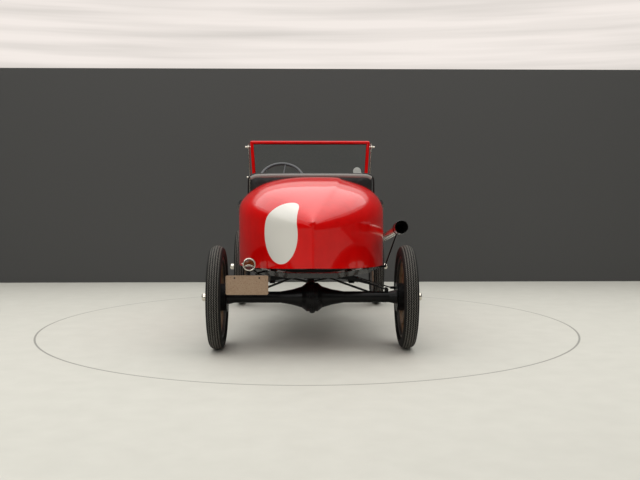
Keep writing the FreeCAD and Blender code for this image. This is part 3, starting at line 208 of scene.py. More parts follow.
def roundedBox(low, high, bevel, name, segments=2):
    piece = plainBox(low, high, name)
    editAll(piece)
    bpy.ops.mesh.bevel(offset=bevel, segments=segments, affect="EDGES")
    bpy.ops.object.mode_set(mode="OBJECT")
    return piece


def domedHead(radius, height, name, steps=12):  # a rivet or tack head, built along +Y from the origin
    return turned([(0, 0), (radius, 0), (radius * 0.94, height * 0.4), (radius * 0.66, height * 0.82),
                   (radius * 0.32, height * 0.97), (0, height)], name, steps)


def hexBolt(head, height, name="bolt"):
    # A hexagon head on a washer, built along +Y from the origin, with its top edge eased.
    washer = 0.0012
    nut = added(bpy.ops.mesh.primitive_cylinder_add, name, vertices=6, radius=head, depth=height,
                location=(0, height / 2 + washer, 0), rotation=(math.pi / 2, 0, 0))
    bakePlace()
    bpy.ops.object.mode_set(mode="EDIT")
    pick("FACE", lambda face: face.normal.y > 0.9)
    bpy.ops.mesh.inset(thickness=head * 0.14)
    bpy.ops.transform.translate(value=(0, height * 0.12, 0))
    bpy.ops.object.mode_set(mode="OBJECT")
    under = turned([(0, 0), (head * 1.45, 0), (head * 1.45, washer - 0.0002), (head * 1.3, washer + 0.0002),
                    (0, washer + 0.0002)], name + "Washer", steps=12)
    return joined([nut, under], name)


def onRing(across, radius, angle):  # a place on a ring round the axis that runs across the car
    return Vector((across, radius * math.cos(angle), radius * math.sin(angle)))


def onSurface(node, origin, direction):
    # Where a line meets a node's skin, and which way the skin faces there.
    hit, place, normal, _ = nodes[node].ray_cast(Vector(origin), Vector(direction))
    return (place, normal) if hit else (None, None)


def standOn(place, normal):
    # The matrix that lays a piece built on the XY plane, looking up +Z, onto the skin, with its Y upright.
    upright = Vector((0, 0, 1))
    upright = (upright - normal * upright.dot(normal)).normalized()
    return at(place) @ Matrix((upright.cross(normal), upright, normal)).transposed().to_4x4()


# finishes: each is named for what it is made of and how its surface was made

def srgb(code):  # "#rrggbb" as drawn on a screen, to the linear numbers that Blender wants
    values = [int(code[i:i + 2], 16) / 255 for i in (1, 3, 5)]
    return (*[v / 12.92 if v <= 0.04045 else ((v + 0.055) / 1.055) ** 2.4 for v in values], 1)


def wire(tree, node, links):  # a link comes from an output, or from a node's first output
    for name, source in links.items():
        tree.links.new(source.outputs[0] if hasattr(source, "outputs") else source, node.inputs[name])


def addNode(tree, kind, settings=None, links=None):
    # One node. Its settings are attributes, sockets by name or number, or the stops of a ramp.
    node = tree.nodes.new("ShaderNode" + kind)
    for name, value in (settings or {}).items():
        if name == "stops":
            while len(node.color_ramp.elements) < len(value):
                node.color_ramp.elements.new(0.5)
            for element, (position, tone) in zip(node.color_ramp.elements, value):
                element.position = position
                element.color = srgb(tone) if isinstance(tone, str) else (tone, tone, tone, 1)
        elif isinstance(name, str) and hasattr(node, name):
            setattr(node, name, value)
        else:
            node.inputs[name].default_value = value
    wire(tree, node, links or {})
    return node


def newMaterial(name, settings):
    # A Principled material. Settings that hold all over stand on its own sockets.
    material = bpy.data.materials.new(name)
    material.use_nodes = True
    tree = material.node_tree
    shader = tree.nodes["Principled BSDF"]
    for socket, value in settings.items():
        shader.inputs[socket].default_value = value
    return material, tree, shader, addNode(tree, "TexCoord").outputs["Object"]


def pattern(tree, place, millimetres, detail, settings=None, kind="TexNoise", stretch=(1, 1, 1)):
    # A texture on the piece's own coordinates, with one of its cells so many millimetres across.
    spot = addNode(tree, "Mapping", {"Scale": [1000 / millimetres * s for s in stretch]},
                   {"Vector": place})
    return addNode(tree, kind, {"Detail": detail, **(settings or {})}, {"Vector": spot})


def coating(name, settings, cloud, tones, gloss=None, relief=(), strength=0.0, depth=0.0006):
    # A finish whose tone and gloss follow one pattern and whose relief is the sum of some others. A negative
    # strength presses the pattern in.
    material, tree, shader, place = newMaterial(name, settings)
    spread = pattern(tree, place, *cloud)
    wire(tree, shader, {"Base Color": addNode(tree, "ValToRGB", {"stops": tones}, {0: spread})})
    if gloss:
        wire(tree, shader, {"Roughness": addNode(tree, "ValToRGB", {"stops": gloss}, {0: spread})})
    if relief:
        height = pattern(tree, place, *relief[0])
        for further in relief[1:]:
            height = addNode(tree, "Math", {"operation": "ADD"},
                             {0: height, 1: pattern(tree, place, *further)})
        bump = addNode(tree, "Bump", {"Strength": abs(strength), "Distance": depth, "invert": strength < 0},
                       {"Height": height})
        wire(tree, shader, {"Normal": bump})
    return material


paintShop = {
    "red": "#D20202", "redDeep": "#CA0101", "discWhite": "#DAD8D0",
    "discCentre": (-0.2285, -1.482, 0.885),  # where the painted disc sits on the left of the tail, m
    "discAlong": (0.619, -0.786), "discHalf": (0.198, 0.220),
}


def coachEnamel():
    # Red coach enamel, flatted and polished: a deep even colour under a hard clear gloss.
    material, tree, shader, place = newMaterial("redCoachEnamel", {
        "Roughness": 0.34, "Specular IOR Level": 0.05, "Coat Weight": 1.0, "Coat Roughness": 0.03,
        "Coat IOR": 1.34})
    tone = addNode(tree, "ValToRGB", {"stops": [(0.35, paintShop["redDeep"]), (0.65, paintShop["red"])]},
                   {0: pattern(tree, place, 420, 3.0)})
    # the painted disc is an ellipse drawn square on to the left flank of the tail
    alongX, alongY = paintShop["discAlong"]
    across, tall = paintShop["discHalf"]
    shift = addNode(tree, "VectorMath", {"operation": "SUBTRACT", 1: paintShop["discCentre"]},
                    {0: place})
    sideways = addNode(tree, "VectorMath", {"operation": "DOT_PRODUCT",
                                                      1: (alongX / across, alongY / across, 0)}, {0: shift})
    upwards = addNode(tree, "VectorMath", {"operation": "DOT_PRODUCT", 1: (0, 0, 1 / tall)},
                      {0: shift})
    flat = addNode(tree, "CombineXYZ", None,
                   {"X": sideways.outputs["Value"], "Y": upwards.outputs["Value"]})
    reach = addNode(tree, "VectorMath", {"operation": "LENGTH"}, {0: flat})
    inside = addNode(tree, "MapRange", {"From Min": 0.994, "From Max": 1.002, "To Min": 1.0,
                                                  "To Max": 0.0}, {"Value": reach.outputs["Value"]})
    leftOnly = addNode(tree, "Math", {"operation": "LESS_THAN", 1: 0.0},
                       {0: addNode(tree, "SeparateXYZ", None, {"Vector": place})})
    painted = addNode(tree, "Math", {"operation": "MULTIPLY"}, {0: inside, 1: leftOnly})
    mix = addNode(tree, "Mix", {"data_type": "RGBA", 7: srgb(paintShop["discWhite"])},
                  {0: painted, 6: tone})
    peel = addNode(tree, "Bump", {"Strength": 0.02, "Distance": 0.0006},  # faint orange peel
                   {"Height": pattern(tree, place, 9, 2.0)})
    wire(tree, shader, {"Base Color": mix.outputs[2], "Normal": peel})
    return material


def hickorySpoke():
    # Steam-bent hickory under clear varnish: long brown grain with darker pores.
    material, tree, shader, place = newMaterial("varnishedHickory", {
        "Coat Weight": 0.55, "Coat Roughness": 0.12, "IOR": 1.5})
    rings = pattern(tree, place, 28, 5.0, {"Distortion": 1.4})
    fibre = pattern(tree, place, 34, 4.0, {"Distortion": 5.0, "Scale": 1.0}, "TexWave")
    both = addNode(tree, "Math", {"operation": "MULTIPLY_ADD", 1: 0.45},
                   {0: fibre.outputs["Fac"], 2: rings})
    tone = addNode(tree, "ValToRGB", {"stops": [(0.3, "#2C1D10"), (0.55, "#4A3420"), (0.8, "#6B5034")]},
                   {0: both})
    gloss = addNode(tree, "ValToRGB", {"stops": [(0.3, 0.5), (0.7, 0.34)]}, {0: rings})
    grain = addNode(tree, "Bump", {"Strength": 0.12, "Distance": 0.0004},
                    {"Height": fibre.outputs["Fac"]})
    wire(tree, shader, {"Base Color": tone, "Roughness": gloss, "Normal": grain})
    return material


def plain(name, pale, dark, gloss, grain, strength, settings=None):
    # A finish that is one noise deep, with its cloudiness twelve times as wide as its grain in mm.
    return coating(name, settings or {}, (grain * 12, 6.0),
                   [(0.3, dark), (0.7, pale)], [(0.3, gloss[0]), (0.7, gloss[1])],
                   [(grain, 3.0)], strength)


def glass(name, dark, pale, roughness=0.0, clear=1.0):  # flat drawn glass: clear, hard and faintly clouded
    return coating(name, {"Transmission Weight": clear, "IOR": 1.45, "Roughness": roughness},
                   (90, 1.0), [(0.3, dark), (0.7, pale)])


red = coachEnamel()
hickory = hickorySpoke()
# black brushing enamel on pressed steel: half gloss, with dust caught in the low places
black = coating("blackChassisEnamel",
                {"Specular IOR Level": 0.15, "Coat Weight": 0.08, "Coat Roughness": 0.2},
                (60, 6.0), [(0.4, "#030304"), (0.75, "#0C0B0B")],
                [(0.35, 0.28), (0.75, 0.55)], [(6, 3.0, None, "TexNoise", (1, 0.15, 1))], 0.12)
# gloss black valance paint, cleaner than the chassis
gloss = coating("blackGlossPaint", {"Coat Weight": 0.8, "Coat Roughness": 0.06},
                (150, 4.0), [(0.3, "#060607"), (0.7, "#0E0E0F")],
                [(0.3, 0.18), (0.7, 0.32)])
# black pneumatic rubber: matt, greyed where it has met the road
rubber = coating("tyreRubber", {"IOR": 1.52, "Specular IOR Level": 0.2},
                 (35, 8.0, {"Roughness": 0.65}),
                 [(0.3, "#0B0B0A"), (0.6, "#141311"), (0.8, "#262421")], [(0.3, 0.62), (0.8, 0.85)],
                 [(2.5, 4.0)], 0.25, 0.0005)
# warm nickel plate, polished, with faint buffing marks and a little tarnish
nickel = coating("polishedNickel", {"Metallic": 1.0}, (40, 5.0),
                 [(0.3, "#C9C3B6"), (0.7, "#E2DDD2")], [(0.3, 0.22), (0.7, 0.1)],
                 [(3, 2.0)], 0.04, 0.0002)
# sand-cast iron under thin black paint, oily and pitted at about 3 mm
iron = coating("paintedCastIron", {"Metallic": 0.35}, (90, 6.0),
               [(0.35, "#141414"), (0.6, "#232220"), (0.8, "#3A342B")], [(0.3, 0.4), (0.75, 0.75)],
               [(3, 0.0, None, "TexVoronoi")], 0.35, 0.0007)
# black coach hide: fine pebble grain, worn a little shiny and grey on the crowns
hide = coating("blackCoachHide", {"IOR": 1.5, "Specular IOR Level": 0.4}, (130, 5.0),
               [(0.35, "#0D0D0E"), (0.7, "#1D1C1C")], [(0.35, 0.52), (0.75, 0.36)],
               [(3.2, 0.0, {"feature": "DISTANCE_TO_EDGE"}, "TexVoronoi"),
                (26, 6.0, {"Distortion": 0.6})], 0.35, 0.0009)
# black honeycomb core: air cells about 9 mm across between thin grey fins, the cells painted near black as
# painted shade inside them
honeycomb = (9.09, 0.0, {"feature": "DISTANCE_TO_EDGE", "Randomness": 0.15}, "TexVoronoi", (1, 0.0001, 1))
core = coating("honeycombCore", {"Roughness": 0.5, "Metallic": 0.6}, honeycomb,
               [(0.04, "#5A5650"), (0.16, "#050505")], None, [honeycomb], -0.8, 0.002)
# stamped steel plate in tan enamel, weathered in patches
weather = (45, 9.0, {"Roughness": 0.7})
tan = coating("weatheredTanEnamel", {"Roughness": 0.55}, weather,
              [(0.30, "#5E4030"), (0.40, "#93785E"), (0.7, "#A8927A")], None, [weather], 0.3)
# soot baked on the inside of the exhaust, without any shine; the same black in the hood's louvre slits is
# painted shade
sootAndShade = coating("sootAndPaintedShade", {"Roughness": 0.92, "Specular IOR Level": 0.1},
               (14, 6.0), [(0.3, "#040404"), (0.7, "#0D0B0A")])
ash = plain("oiledAshBoard", "#5A4430", "#3A2A1C", (0.5, 0.7), 6, 0.3)  # oiled boards, dull and brown
rimPaint = plain("bareRimSteel", "#4B4742", "#2A2826", (0.35, 0.6), 5, 0.15, {"Metallic": 0.7})
paintedHighlightHide = plain("seatRollPaintedHighlight", "#8B8782", "#77736F", (0.42, 0.6), 3.2, 0.4)  # black hide painted pale grey: a painted highlight standing for the ceiling's reflection on the seat's top roll
paleTread = plain("paleTreadRubber", "#6E6B64", "#504D48", (0.55, 0.7), 6, 0.2)  # the tread ribs are a paler grey rubber than the casing
# black hard rubber painted mid grey: the grey is a painted reflection of the pale room on the steering rim
steeringRimReflectionGrey = plain("steeringRimPaintedReflection", "#55575A", "#3C3D3E", (0.3, 0.45), 4, 0.1)
brass = plain("agedBrass", "#B08D4C", "#8A6A34", (0.22, 0.4), 4, 0.05, {"Metallic": 1.0})
mirrorGlass = plain("silveredGlass", "#E2E4E4", "#D5D8D8", (0.02, 0.05), 30, 0.0, {"Metallic": 1.0})
agedMirror = plain("agedMirrorGlass", "#DADAD5", "#C6C7C2", (0.45, 0.6), 12, 0.0, {"Metallic": 0.5})
pane = glass("drawnWindowGlass", "#F4FAF7", "#FFFFFF")
lens = glass("flutedLampGlass", "#F2F2EE", "#FFFFFF", 0.08)
amber = glass("amberSignalGlass", "#6A2E10", "#7E3A14", 0.15, 0.4)
ruby = glass("rubySignalGlass", "#4A0405", "#650608", 0.15, 0.4)
print("finishes made")

slotFinish = {
    "tyre_rubber": rubber, "wheel_wood": hickory, "hub_metal": black, "chassis_black": black,
    "engine_iron": iron, "body_red": red, "sill_black": gloss, "floor_wood": ash,
    "black_leather": hide, "nickel": nickel, "core_black": core, "wheel_rim_dark": steeringRimReflectionGrey,
    "clear_glass": pane, "plate_tan": tan,
}
slotOf = {part["node"]: part["material_slot"] for part in frame["record"]["subparts"]}
for nodeName, node in nodes.items():
    node.data.materials.clear()
    node.data.materials.append(slotFinish[slotOf.get(nodeName, "chassis_black")])
    makeActive(node)
    bpy.ops.object.shade_smooth_by_angle(angle=math.radians(32))
nodes["headlamp_lenses"].data.materials[0] = lens


def refinish(node, materials, test):  # gives the node's faces a further finish where the test names one
    for material in materials:
        nodes[node].data.materials.append(material)
    for face in nodes[node].data.polygons:
        face.material_index = test(face)


tyreShape = {
    "teeth": 138, "ribs": (-0.0350, -0.0175, 0.0, 0.0175, 0.0350), "ribWidth": 0.0046,
    "zigzag": 0.0088, "proud": 0.0034, "rooted": 0.002, "crown": 0.390, "crownArc": 0.061,
    # the casing's left wall from the bead to the edge of the tread, with its moulded ribs: radius, across
    "wall": [(0.2935, -0.0338), (0.3052, -0.0336), (0.3165, -0.0430), (0.3240, -0.0485), (0.3262, -0.0512),
             (0.3290, -0.0512), (0.3312, -0.0502), (0.3435, -0.0528), (0.3455, -0.0540), (0.3480, -0.0540),
             (0.3500, -0.0526), (0.3590, -0.0505), (0.3612, -0.0512), (0.3635, -0.0500), (0.3720, -0.0452),
             (0.3765, -0.0405), (0.3755, -0.0375)],
}
wheelKit = {
    "hubBolts": 6, "boltRing": 0.060, "boltFace": 0.0253, "boltHead": 0.0065, "lugs": 4, "lugRing": 0.2865,
    "lugFace": 0.0258, "spokes": 12, "felloeRing": 0.270, "felloeFace": 0.0219, "headRadius": 0.0058,
    "valveAngle": 75, "valveRing": 0.255, "steelFrom": 0.2855, "capFrom": 0.049,
    "valve": [(0, 0), (0.0038, 0), (0.0038, 0.014), (0.0048, 0.015), (0.0048, 0.030), (0.0035, 0.034),
              (0, 0.034)],
}


def crownHeight(across, sink=0.0):  # the tread's radius at a distance from the middle of the tyre
    bow = tyreShape["crownArc"]
    return tyreShape["crown"] - bow + math.sqrt(bow * bow - across * across) - sink


def zigzagTread():
    # One tooth of each rib is modelled at the top of the tyre, then spun round the axle as copies.
    count = tyreShape["teeth"]
    pitch = 2 * math.pi * tyreShape["crown"] / count
    teeth = []
    for across in tyreShape["ribs"]:
        lean = math.asin(across / tyreShape["crownArc"])
        shift = Vector((math.cos(lean), 0, -math.sin(lean))) * tyreShape["zigzag"]
        tooth = added(bpy.ops.mesh.primitive_grid_add, "treadTooth", x_subdivisions=1, y_subdivisions=2,
                      size=1)
        tooth.scale = (tyreShape["ribWidth"], pitch, 1)
        tooth.rotation_euler = (0, lean, 0)
        tooth.location = Vector((across, 0, crownHeight(across))) - shift / 2
        bakePlace()
        bpy.ops.object.mode_set(mode="EDIT")
        pick("VERT", lambda vert: abs(vert.co.y) < pitch * 0.1)
        bpy.ops.transform.translate(value=shift)
        bpy.ops.mesh.select_all(action="SELECT")
        bpy.ops.mesh.extrude_region_move(
            TRANSFORM_OT_translate={"value": (0, 0, -tyreShape["proud"] - tyreShape["rooted"])})
        bpy.ops.mesh.select_all(action="SELECT")
        bpy.ops.mesh.normals_make_consistent(inside=False)
        bpy.ops.object.mode_set(mode="OBJECT")
        teeth.append(tooth)
    ring = joined(teeth, "treadRing")
    editAll(ring)
    bpy.ops.mesh.spin(steps=count - 1, angle=2 * math.pi * (count - 1) / count, dupli=True,
                      center=(0, 0, 0), axis=(1, 0, 0))
    bpy.ops.object.mode_set(mode="OBJECT")
    return ring


def tyreCarcass():
    # The casing under the tread, with ribbed walls, turned from one profile.
    left = tyreShape["wall"] + [(crownHeight(x / 1000, tyreShape["proud"]), x / 1000)
                                for x in range(-34, 1, 4)]
    right = [(radius, -along) for radius, along in reversed(left) if along < -0.0001]
    return turned(left + right, "tyreCarcass", 96, "X")


def wheelFixings(sign):
    # Carriage bolts through the hub flange, felloe bolts, rim lugs with their nuts, and the valve stem.
    outward = aim((0, 0, 0), (sign, 0, 0))
    parts = []
    for index in range(wheelKit["hubBolts"]):
        spot = onRing(sign * wheelKit["boltFace"], wheelKit["boltRing"],
                      math.radians(360 / wheelKit["hubBolts"] * index + 15))
        parts.append(moved(hexBolt(wheelKit["boltHead"], 0.0055), at(spot), outward))
    for index in range(wheelKit["spokes"]):
        head = added(bpy.ops.mesh.primitive_uv_sphere_add, "felloeBolt", segments=12, ring_count=8,
                     radius=wheelKit["headRadius"])
        editAll(head)
        bpy.ops.mesh.bisect(plane_co=(0, 0, 0), plane_no=(sign, 0, 0), clear_inner=True, use_fill=True)
        bpy.ops.object.mode_set(mode="OBJECT")
        spot = onRing(sign * wheelKit["felloeFace"], wheelKit["felloeRing"],
                      math.radians(360 / wheelKit["spokes"] * index + 15))
        parts.append(moved(head, at(spot), Matrix.Diagonal((0.55, 1, 1, 1))))
    for index in range(wheelKit["lugs"]):
        lug = roundedBox((-0.0035, -0.013, -0.011), (0.0035, 0.013, 0.0125), 0.0022, "rimLug")
        nut = moved(hexBolt(0.0078, 0.0085), at((sign * 0.0035, 0, -0.0045)), outward)
        angle = math.radians(360 / wheelKit["lugs"] * index + 45)
        parts.append(moved(joined([lug, nut], "rimLug"), Matrix.Rotation(angle, 4, "X"),
                           at((sign * wheelKit["lugFace"], 0, wheelKit["lugRing"] - 0.004))))
    parts.append(moved(turned(wheelKit["valve"], "valveStem", 12, "Z"),
                       Matrix.Rotation(math.radians(wheelKit["valveAngle"]), 4, "X"),
                       at((0, 0, wheelKit["valveRing"])), Matrix.Rotation(math.pi, 4, "X")))
    return joined(parts, "wheelFixings")


carcass = tyreCarcass()
treadRibs = zigzagTread()
fixings = {-1: wheelFixings(-1), 1: wheelFixings(1)}
for end, (sign, side) in [(end, way) for end in ("rear", "front") for way in sides]:
    corner, body = f"{end}_{side}", f"road_wheel_{end}_{side}"
    low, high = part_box(f"tyre_{corner}")
    middle = (low + high) / 2
    casing = finish(f"casing_{corner}", [copyPiece(carcass, at(middle))], rubber, body, 50)
    finish(f"tread_{corner}", [copyPiece(treadRibs, at(middle))], paleTread, body, 20)
    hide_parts(f"tyre_{corner}")
    finish(f"wheel_bolts_{corner}", [copyPiece(fixings[sign], at(middle))], nickel, body, 30)
    # the rim is bare steel and the hub cap nickel, on faces of the CAD nodes
    refinish(f"wheel_{corner}", [rimPaint], lambda face: int(math.hypot(
        face.center.y - middle.y, face.center.z - middle.z) > wheelKit["steelFrom"]))
    refinish(f"hub_{corner}", [nickel],
             lambda face: int(sign * (face.center.x - middle.x) > wheelKit["capFrom"]))
for spare in (carcass, treadRibs, fixings[-1], fixings[1]):
    bpy.data.objects.remove(spare)
print("wheels dressed")


seatKit = {
    "voxel": 0.010, "frames": 18, "pressure": 3.5, "cap": 0.010, "shrink": 0.011, "edge": 0.020,
    "inside": 0.0015, "pleats": 12, "pleatDepth": 0.0065, "pleatHalf": 0.0075, "pleatMargin": 0.05,
    "piping": 0.0042, "pipingInset": 0.004, "pipingTurn": 5, "rollRadius": 0.0205,
    # half of the roll along the top of the back, painted pale grey as a painted highlight, from its end to
    # its middle
    "rollHalf": [(-0.4850, -0.6580, 1.2900), (-0.4650, -0.6610, 1.3020), (-0.4250, -0.6630, 1.3085)],
    "rollMiddle": (0, -0.6630, 1.3100),
}


def pad(name, low, high, corner, vertical):
    # A stuffed form a little smaller than its place, with the corners of its face rounded first.
    inward = Vector([seatKit["shrink"]] * 3)
    low, high = low + inward, high - inward
    piece = plainBox(low, high, name)
    bpy.ops.object.mode_set(mode="EDIT")
    length = 1 if vertical else 2  # the two top corners of the back, or the four corners of the cushion
    pick("EDGE", lambda edge: abs((edge.verts[0].co - edge.verts[1].co).normalized()[length]) > 0.9
         and (not vertical or edge.verts[0].co.z > (low.z + high.z) / 2))
    bpy.ops.mesh.bevel(offset=corner, segments=6, affect="EDGES")
    pick("EDGE", lambda edge: edge.calc_face_angle(0) > math.radians(60))
    bpy.ops.mesh.bevel(offset=seatKit["edge"], segments=4, affect="EDGES")
    bpy.ops.object.mode_set(mode="OBJECT")
    skin = piece.modifiers.new("skin", "REMESH")
    skin.mode = "VOXEL"
    skin.voxel_size = seatKit["voxel"]
    applyModifiers(piece)
    return piece


def stuff(piece, low, high):
    # Cloth under pressure plumps the pad; no point may move further than the cap or leave the CAD box.
    rest = [vert.co.copy() for vert in piece.data.vertices]
    cloth = piece.modifiers.new("stuffing", "CLOTH")
    cloth.settings.use_pressure = True
    cloth.settings.uniform_pressure_force = seatKit["pressure"]
    cloth.settings.effector_weights.gravity = 0
    cloth.settings.quality = 5
    for number in range(1, seatKit["frames"] + 1):
        bpy.context.scene.frame_set(number)
    applyModifiers(piece)
    bpy.context.scene.frame_set(1)
    for vert, start in zip(piece.data.vertices, rest):
        move = vert.co - start
        if move.length > seatKit["cap"]:
            vert.co = start + move.normalized() * seatKit["cap"]
        for axis in range(3):
            vert.co[axis] = min(max(vert.co[axis], low[axis] + seatKit["inside"]),
                                high[axis] - seatKit["inside"])
    smooth = piece.modifiers.new("ease", "SUBSURF")
    smooth.levels = 1
    smooth.render_levels = 1
    applyModifiers(piece)


def sewPleats(piece, low, high, axis):
    # Sewn channels: narrow valleys across the face that looks along the axis.
    count, other = seatKit["pleats"], 3 - axis
    pitch = (high.x - low.x) / count
    normals = [vert.normal.copy() for vert in piece.data.vertices]
    for vert, normal in zip(piece.data.vertices, normals):
        column = (vert.co.x - low.x) / pitch
        if normal[axis] < 0.35 or round(column) in (0, count):
            continue
        gap = abs(column - round(column)) * pitch
        inset = min(vert.co[other] - low[other], high[other] - vert.co[other])
        fade = min(max(inset / seatKit["pleatMargin"], 0), 1) * min((normal[axis] - 0.35) / 0.3, 1)
        valley = math.exp(-(gap / seatKit["pleatHalf"]) ** 2)
        vert.co[axis] -= fade * seatKit["pleatDepth"] * valley


def arc(centre, radius, start, turn, steps):  # points round a corner, in the plane of two coordinates
    angles = [math.radians(start + turn * index / steps) for index in range(steps + 1)]
    return [(centre[0] + radius * math.cos(angle), centre[1] + radius * math.sin(angle)) for angle in angles]


def roundTray(low, high, corner):  # the outline of a flat rounded rectangle, from its right far corner
    (left, near), (right, far) = low, high
    turns = (((right - corner, far - corner), 0), ((left + corner, far - corner), 90),
             ((left + corner, near + corner), 180), ((right - corner, near + corner), 270))
    steps = seatKit["pipingTurn"]
    return [point for centre, start in turns for point in arc(centre, corner, start, 90, steps)]


def cushionPiping(low, high, corner, level):  # leather piping laid all round the cushion
    inset = seatKit["pipingInset"]
    outline = roundTray((low.x + inset, low.y + inset), (high.x - inset, high.y - inset), corner)
    return tubeAlong([(x, y, level) for x, y in outline], seatKit["piping"], "cushionPiping", 3, cyclic=True)


def backPiping(low, high, corner, level):  # the same up the sides of the back and over its top
    left, right = low.x + seatKit["pipingInset"], high.x - seatKit["pipingInset"]
    top, foot, steps = high.z - seatKit["pipingInset"], low.z + 0.02, seatKit["pipingTurn"]
    middle = (left + right) / 2
    line = [(left, foot), (left, (foot + top) / 2)]
    line += arc((left + corner, top - corner), corner, 180, -90, steps)
    line += [(middle - 0.1, top), (middle + 0.1, top)]
    line += arc((right - corner, top - corner), corner, 90, -90, steps)
    line += [(right, (foot + top) / 2), (right, foot)]
    return tubeAlong([(x, level, z) for x, z in line], seatKit["piping"], "squabPiping", 3)


def upholster():
    rows = (("bench_cushion", "seat_cushion", 0.034, False), ("bench_squab", "seat_back", 0.056, True))
    for name, node, corner, vertical in rows:
        low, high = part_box(node)
        piece = pad(name, low, high, corner, vertical)
        stuff(piece, low, high)
        sewPleats(piece, low, high, 1 if vertical else 2)
        finish(name, [piece], hide, smoothAngle=60)
        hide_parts(node)
    low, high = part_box("seat_cushion")
    pipings = [cushionPiping(low, high, 0.036, level) for level in (high.z - 0.026, low.z + 0.026)]
    low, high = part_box("seat_back")
    pipings += [backPiping(low, high, 0.060, level) for level in (high.y - 0.024, low.y + 0.024)]
    finish("seat_piping", pipings, hide, smoothAngle=60)
    # the top roll is black hide painted pale grey: a painted highlight of the ceiling along the top of the
    # back
    half = seatKit["rollHalf"]
    route = half + [seatKit["rollMiddle"]] + [(-x, y, z) for x, y, z in reversed(half)]
    finish("seat_top_roll", [tubeAlong(route, seatKit["rollRadius"], "topRoll", 6)], paintedHighlightHide,
           smoothAngle=60)


upholster()
print("seat upholstered")

coamingKit = {
    "radius": 0.0250, "pull": 0.0007, "tackPitch": 0.055, "tackRadius": 0.0040, "tackProud": 0.0037,
    "tackSunk": 0.0024, "tackAim": (0.94, 0, -0.34),
    "route": [(0.5705, -0.5645, 1.0919), (0.5857, -0.4759, 1.0592), (0.5909, -0.3879, 1.0391),
              (0.5904, -0.2999, 1.0304), (0.5856, -0.2120, 1.0328), (0.5757, -0.1240, 1.0464),
              (0.5565, -0.0360, 1.0717), (0.5159, 0.0520, 1.1104), (0.4270, 0.1290, 1.1570)],
}


def coamingRoll(side, label):
    # Hide rolled over the wall, closed with a row of round-headed tacks on the outside.
    points = [Vector((side * x, y, z)) for x, y, z in coamingKit["route"]]
    roll = tubeAlong(points, coamingKit["radius"], "coamingRoll", 7)
    editAll(roll)
    mendSkin(0.00002)
    normals = [vert.normal.copy() for vert in roll.data.vertices]
    for vert, normal in zip(roll.data.vertices, normals):  # the hide pulls in a little between its tacks
        ripple = math.sin(vert.co.y / coamingKit["tackPitch"] * 2 * math.pi)
        vert.co -= normal * coamingKit["pull"] * (1 + ripple)
    aside, _, down = coamingKit["tackAim"]
    outward = Vector((side * aside, 0, down)).normalized()
    tacks = []
    for a, b in zip(points, points[1:]):
        count = max(int((b - a).length / coamingKit["tackPitch"]), 1)
        for index in range(count):
            spot = a.lerp(b, (index + 0.5) / count)
            tacks.append(moved(domedHead(coamingKit["tackRadius"], coamingKit["tackProud"], "tack", 10),
                               aim(spot + outward * (coamingKit["radius"] - coamingKit["tackSunk"]),
                                   spot + outward)))
    finish(f"coaming_tacks_{label}", tacks, brass, smoothAngle=60)
    return roll


coaming = finish("coaming_roll", [coamingRoll(*way) for way in sides], hide,
                 smoothAngle=60)
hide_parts("cockpit_coaming")
print("coaming rolled")

lampKit = {
    "spread": 0.340, "height": 0.905, "clipY": (1.5210, 1.5430), "clipZ": (0.1125, 0.1205),
    # profiles of radius and place along the car
    "bezel": [(0.1045, 1.5290), (0.1125, 1.5290), (0.1165, 1.5325), (0.1165, 1.5375), (0.1120, 1.5415),
              (0.1045, 1.5395)],
    "mirror": [(0.0, 1.4265), (0.0200, 1.4297), (0.0400, 1.4388), (0.0600, 1.4541), (0.0800, 1.4756),
               (0.0945, 1.4950), (0.0950, 1.4935), (0.0780, 1.4725), (0.0560, 1.4470), (0.0390, 1.4262),
               (0.0, 1.4240)],
    "socket": [(0, 1.4275), (0.0085, 1.4275), (0.0085, 1.4500), (0.0065, 1.4540), (0, 1.4540)],
    "bulb": [(0, 1.4530), (0.0055, 1.4530), (0.0062, 1.4560), (0.0092, 1.4585), (0.0113, 1.4620),
             (0.0117, 1.4655), (0.0104, 1.4700), (0.0070, 1.4735), (0.0032, 1.4750), (0, 1.4755)],
}


def headlampDress(side, label):
    x, z = side * lampKit["spread"], lampKit["height"]
    centre = at((x, 0, z))
    (near, far), (under, over) = lampKit["clipY"], lampKit["clipZ"]
    rim = [moved(turned(lampKit["bezel"], "lampBezel", 56), centre),
           roundedBox((x - 0.008, near, z + under), (x + 0.008, far, z + over), 0.0015, "lampClip"),
           moved(hexBolt(0.0042, 0.0035, "lampClipScrew"), at((x, far - 0.0015, z + (under + over) / 2)))]
    finish(f"headlamp_bezel_{label}", rim, nickel)
    for part, steps, material, slot, angle in (("mirror", 56, mirrorGlass, "nickel", 60),
                                               ("socket", 20, brass, "nickel", 35),
                                               ("bulb", 24, lens, "clear_glass", 60)):
        name = "reflector" if part == "mirror" else part
        finish(f"headlamp_{name}_{label}", [moved(turned(lampKit[part], part, steps), centre)], material,
               smoothAngle=angle)


for way in sides:
    headlampDress(*way)

tailKit = {
    "centre": (-0.455, -1.4900, 0.663), "radius": 0.046, "glassHalf": 0.0385, "bulge": 0.0092,
    "archDrop": 0.0015, "archBend": 9.5, "archSteps": 12,
    "glass": [(0, -0.0075), (0.012, -0.0070), (0.024, -0.0052), (0.034, -0.0024), (0.0385, 0.0004),
              (0, 0.0004)],
    "rim": [(0.0375, -0.0030), (0.0395, -0.0052), (0.0430, -0.0060), (0.0462, -0.0040), (0.0472, 0.0000),
            (0.0472, 0.0040), (0.0375, 0.0006)],
}


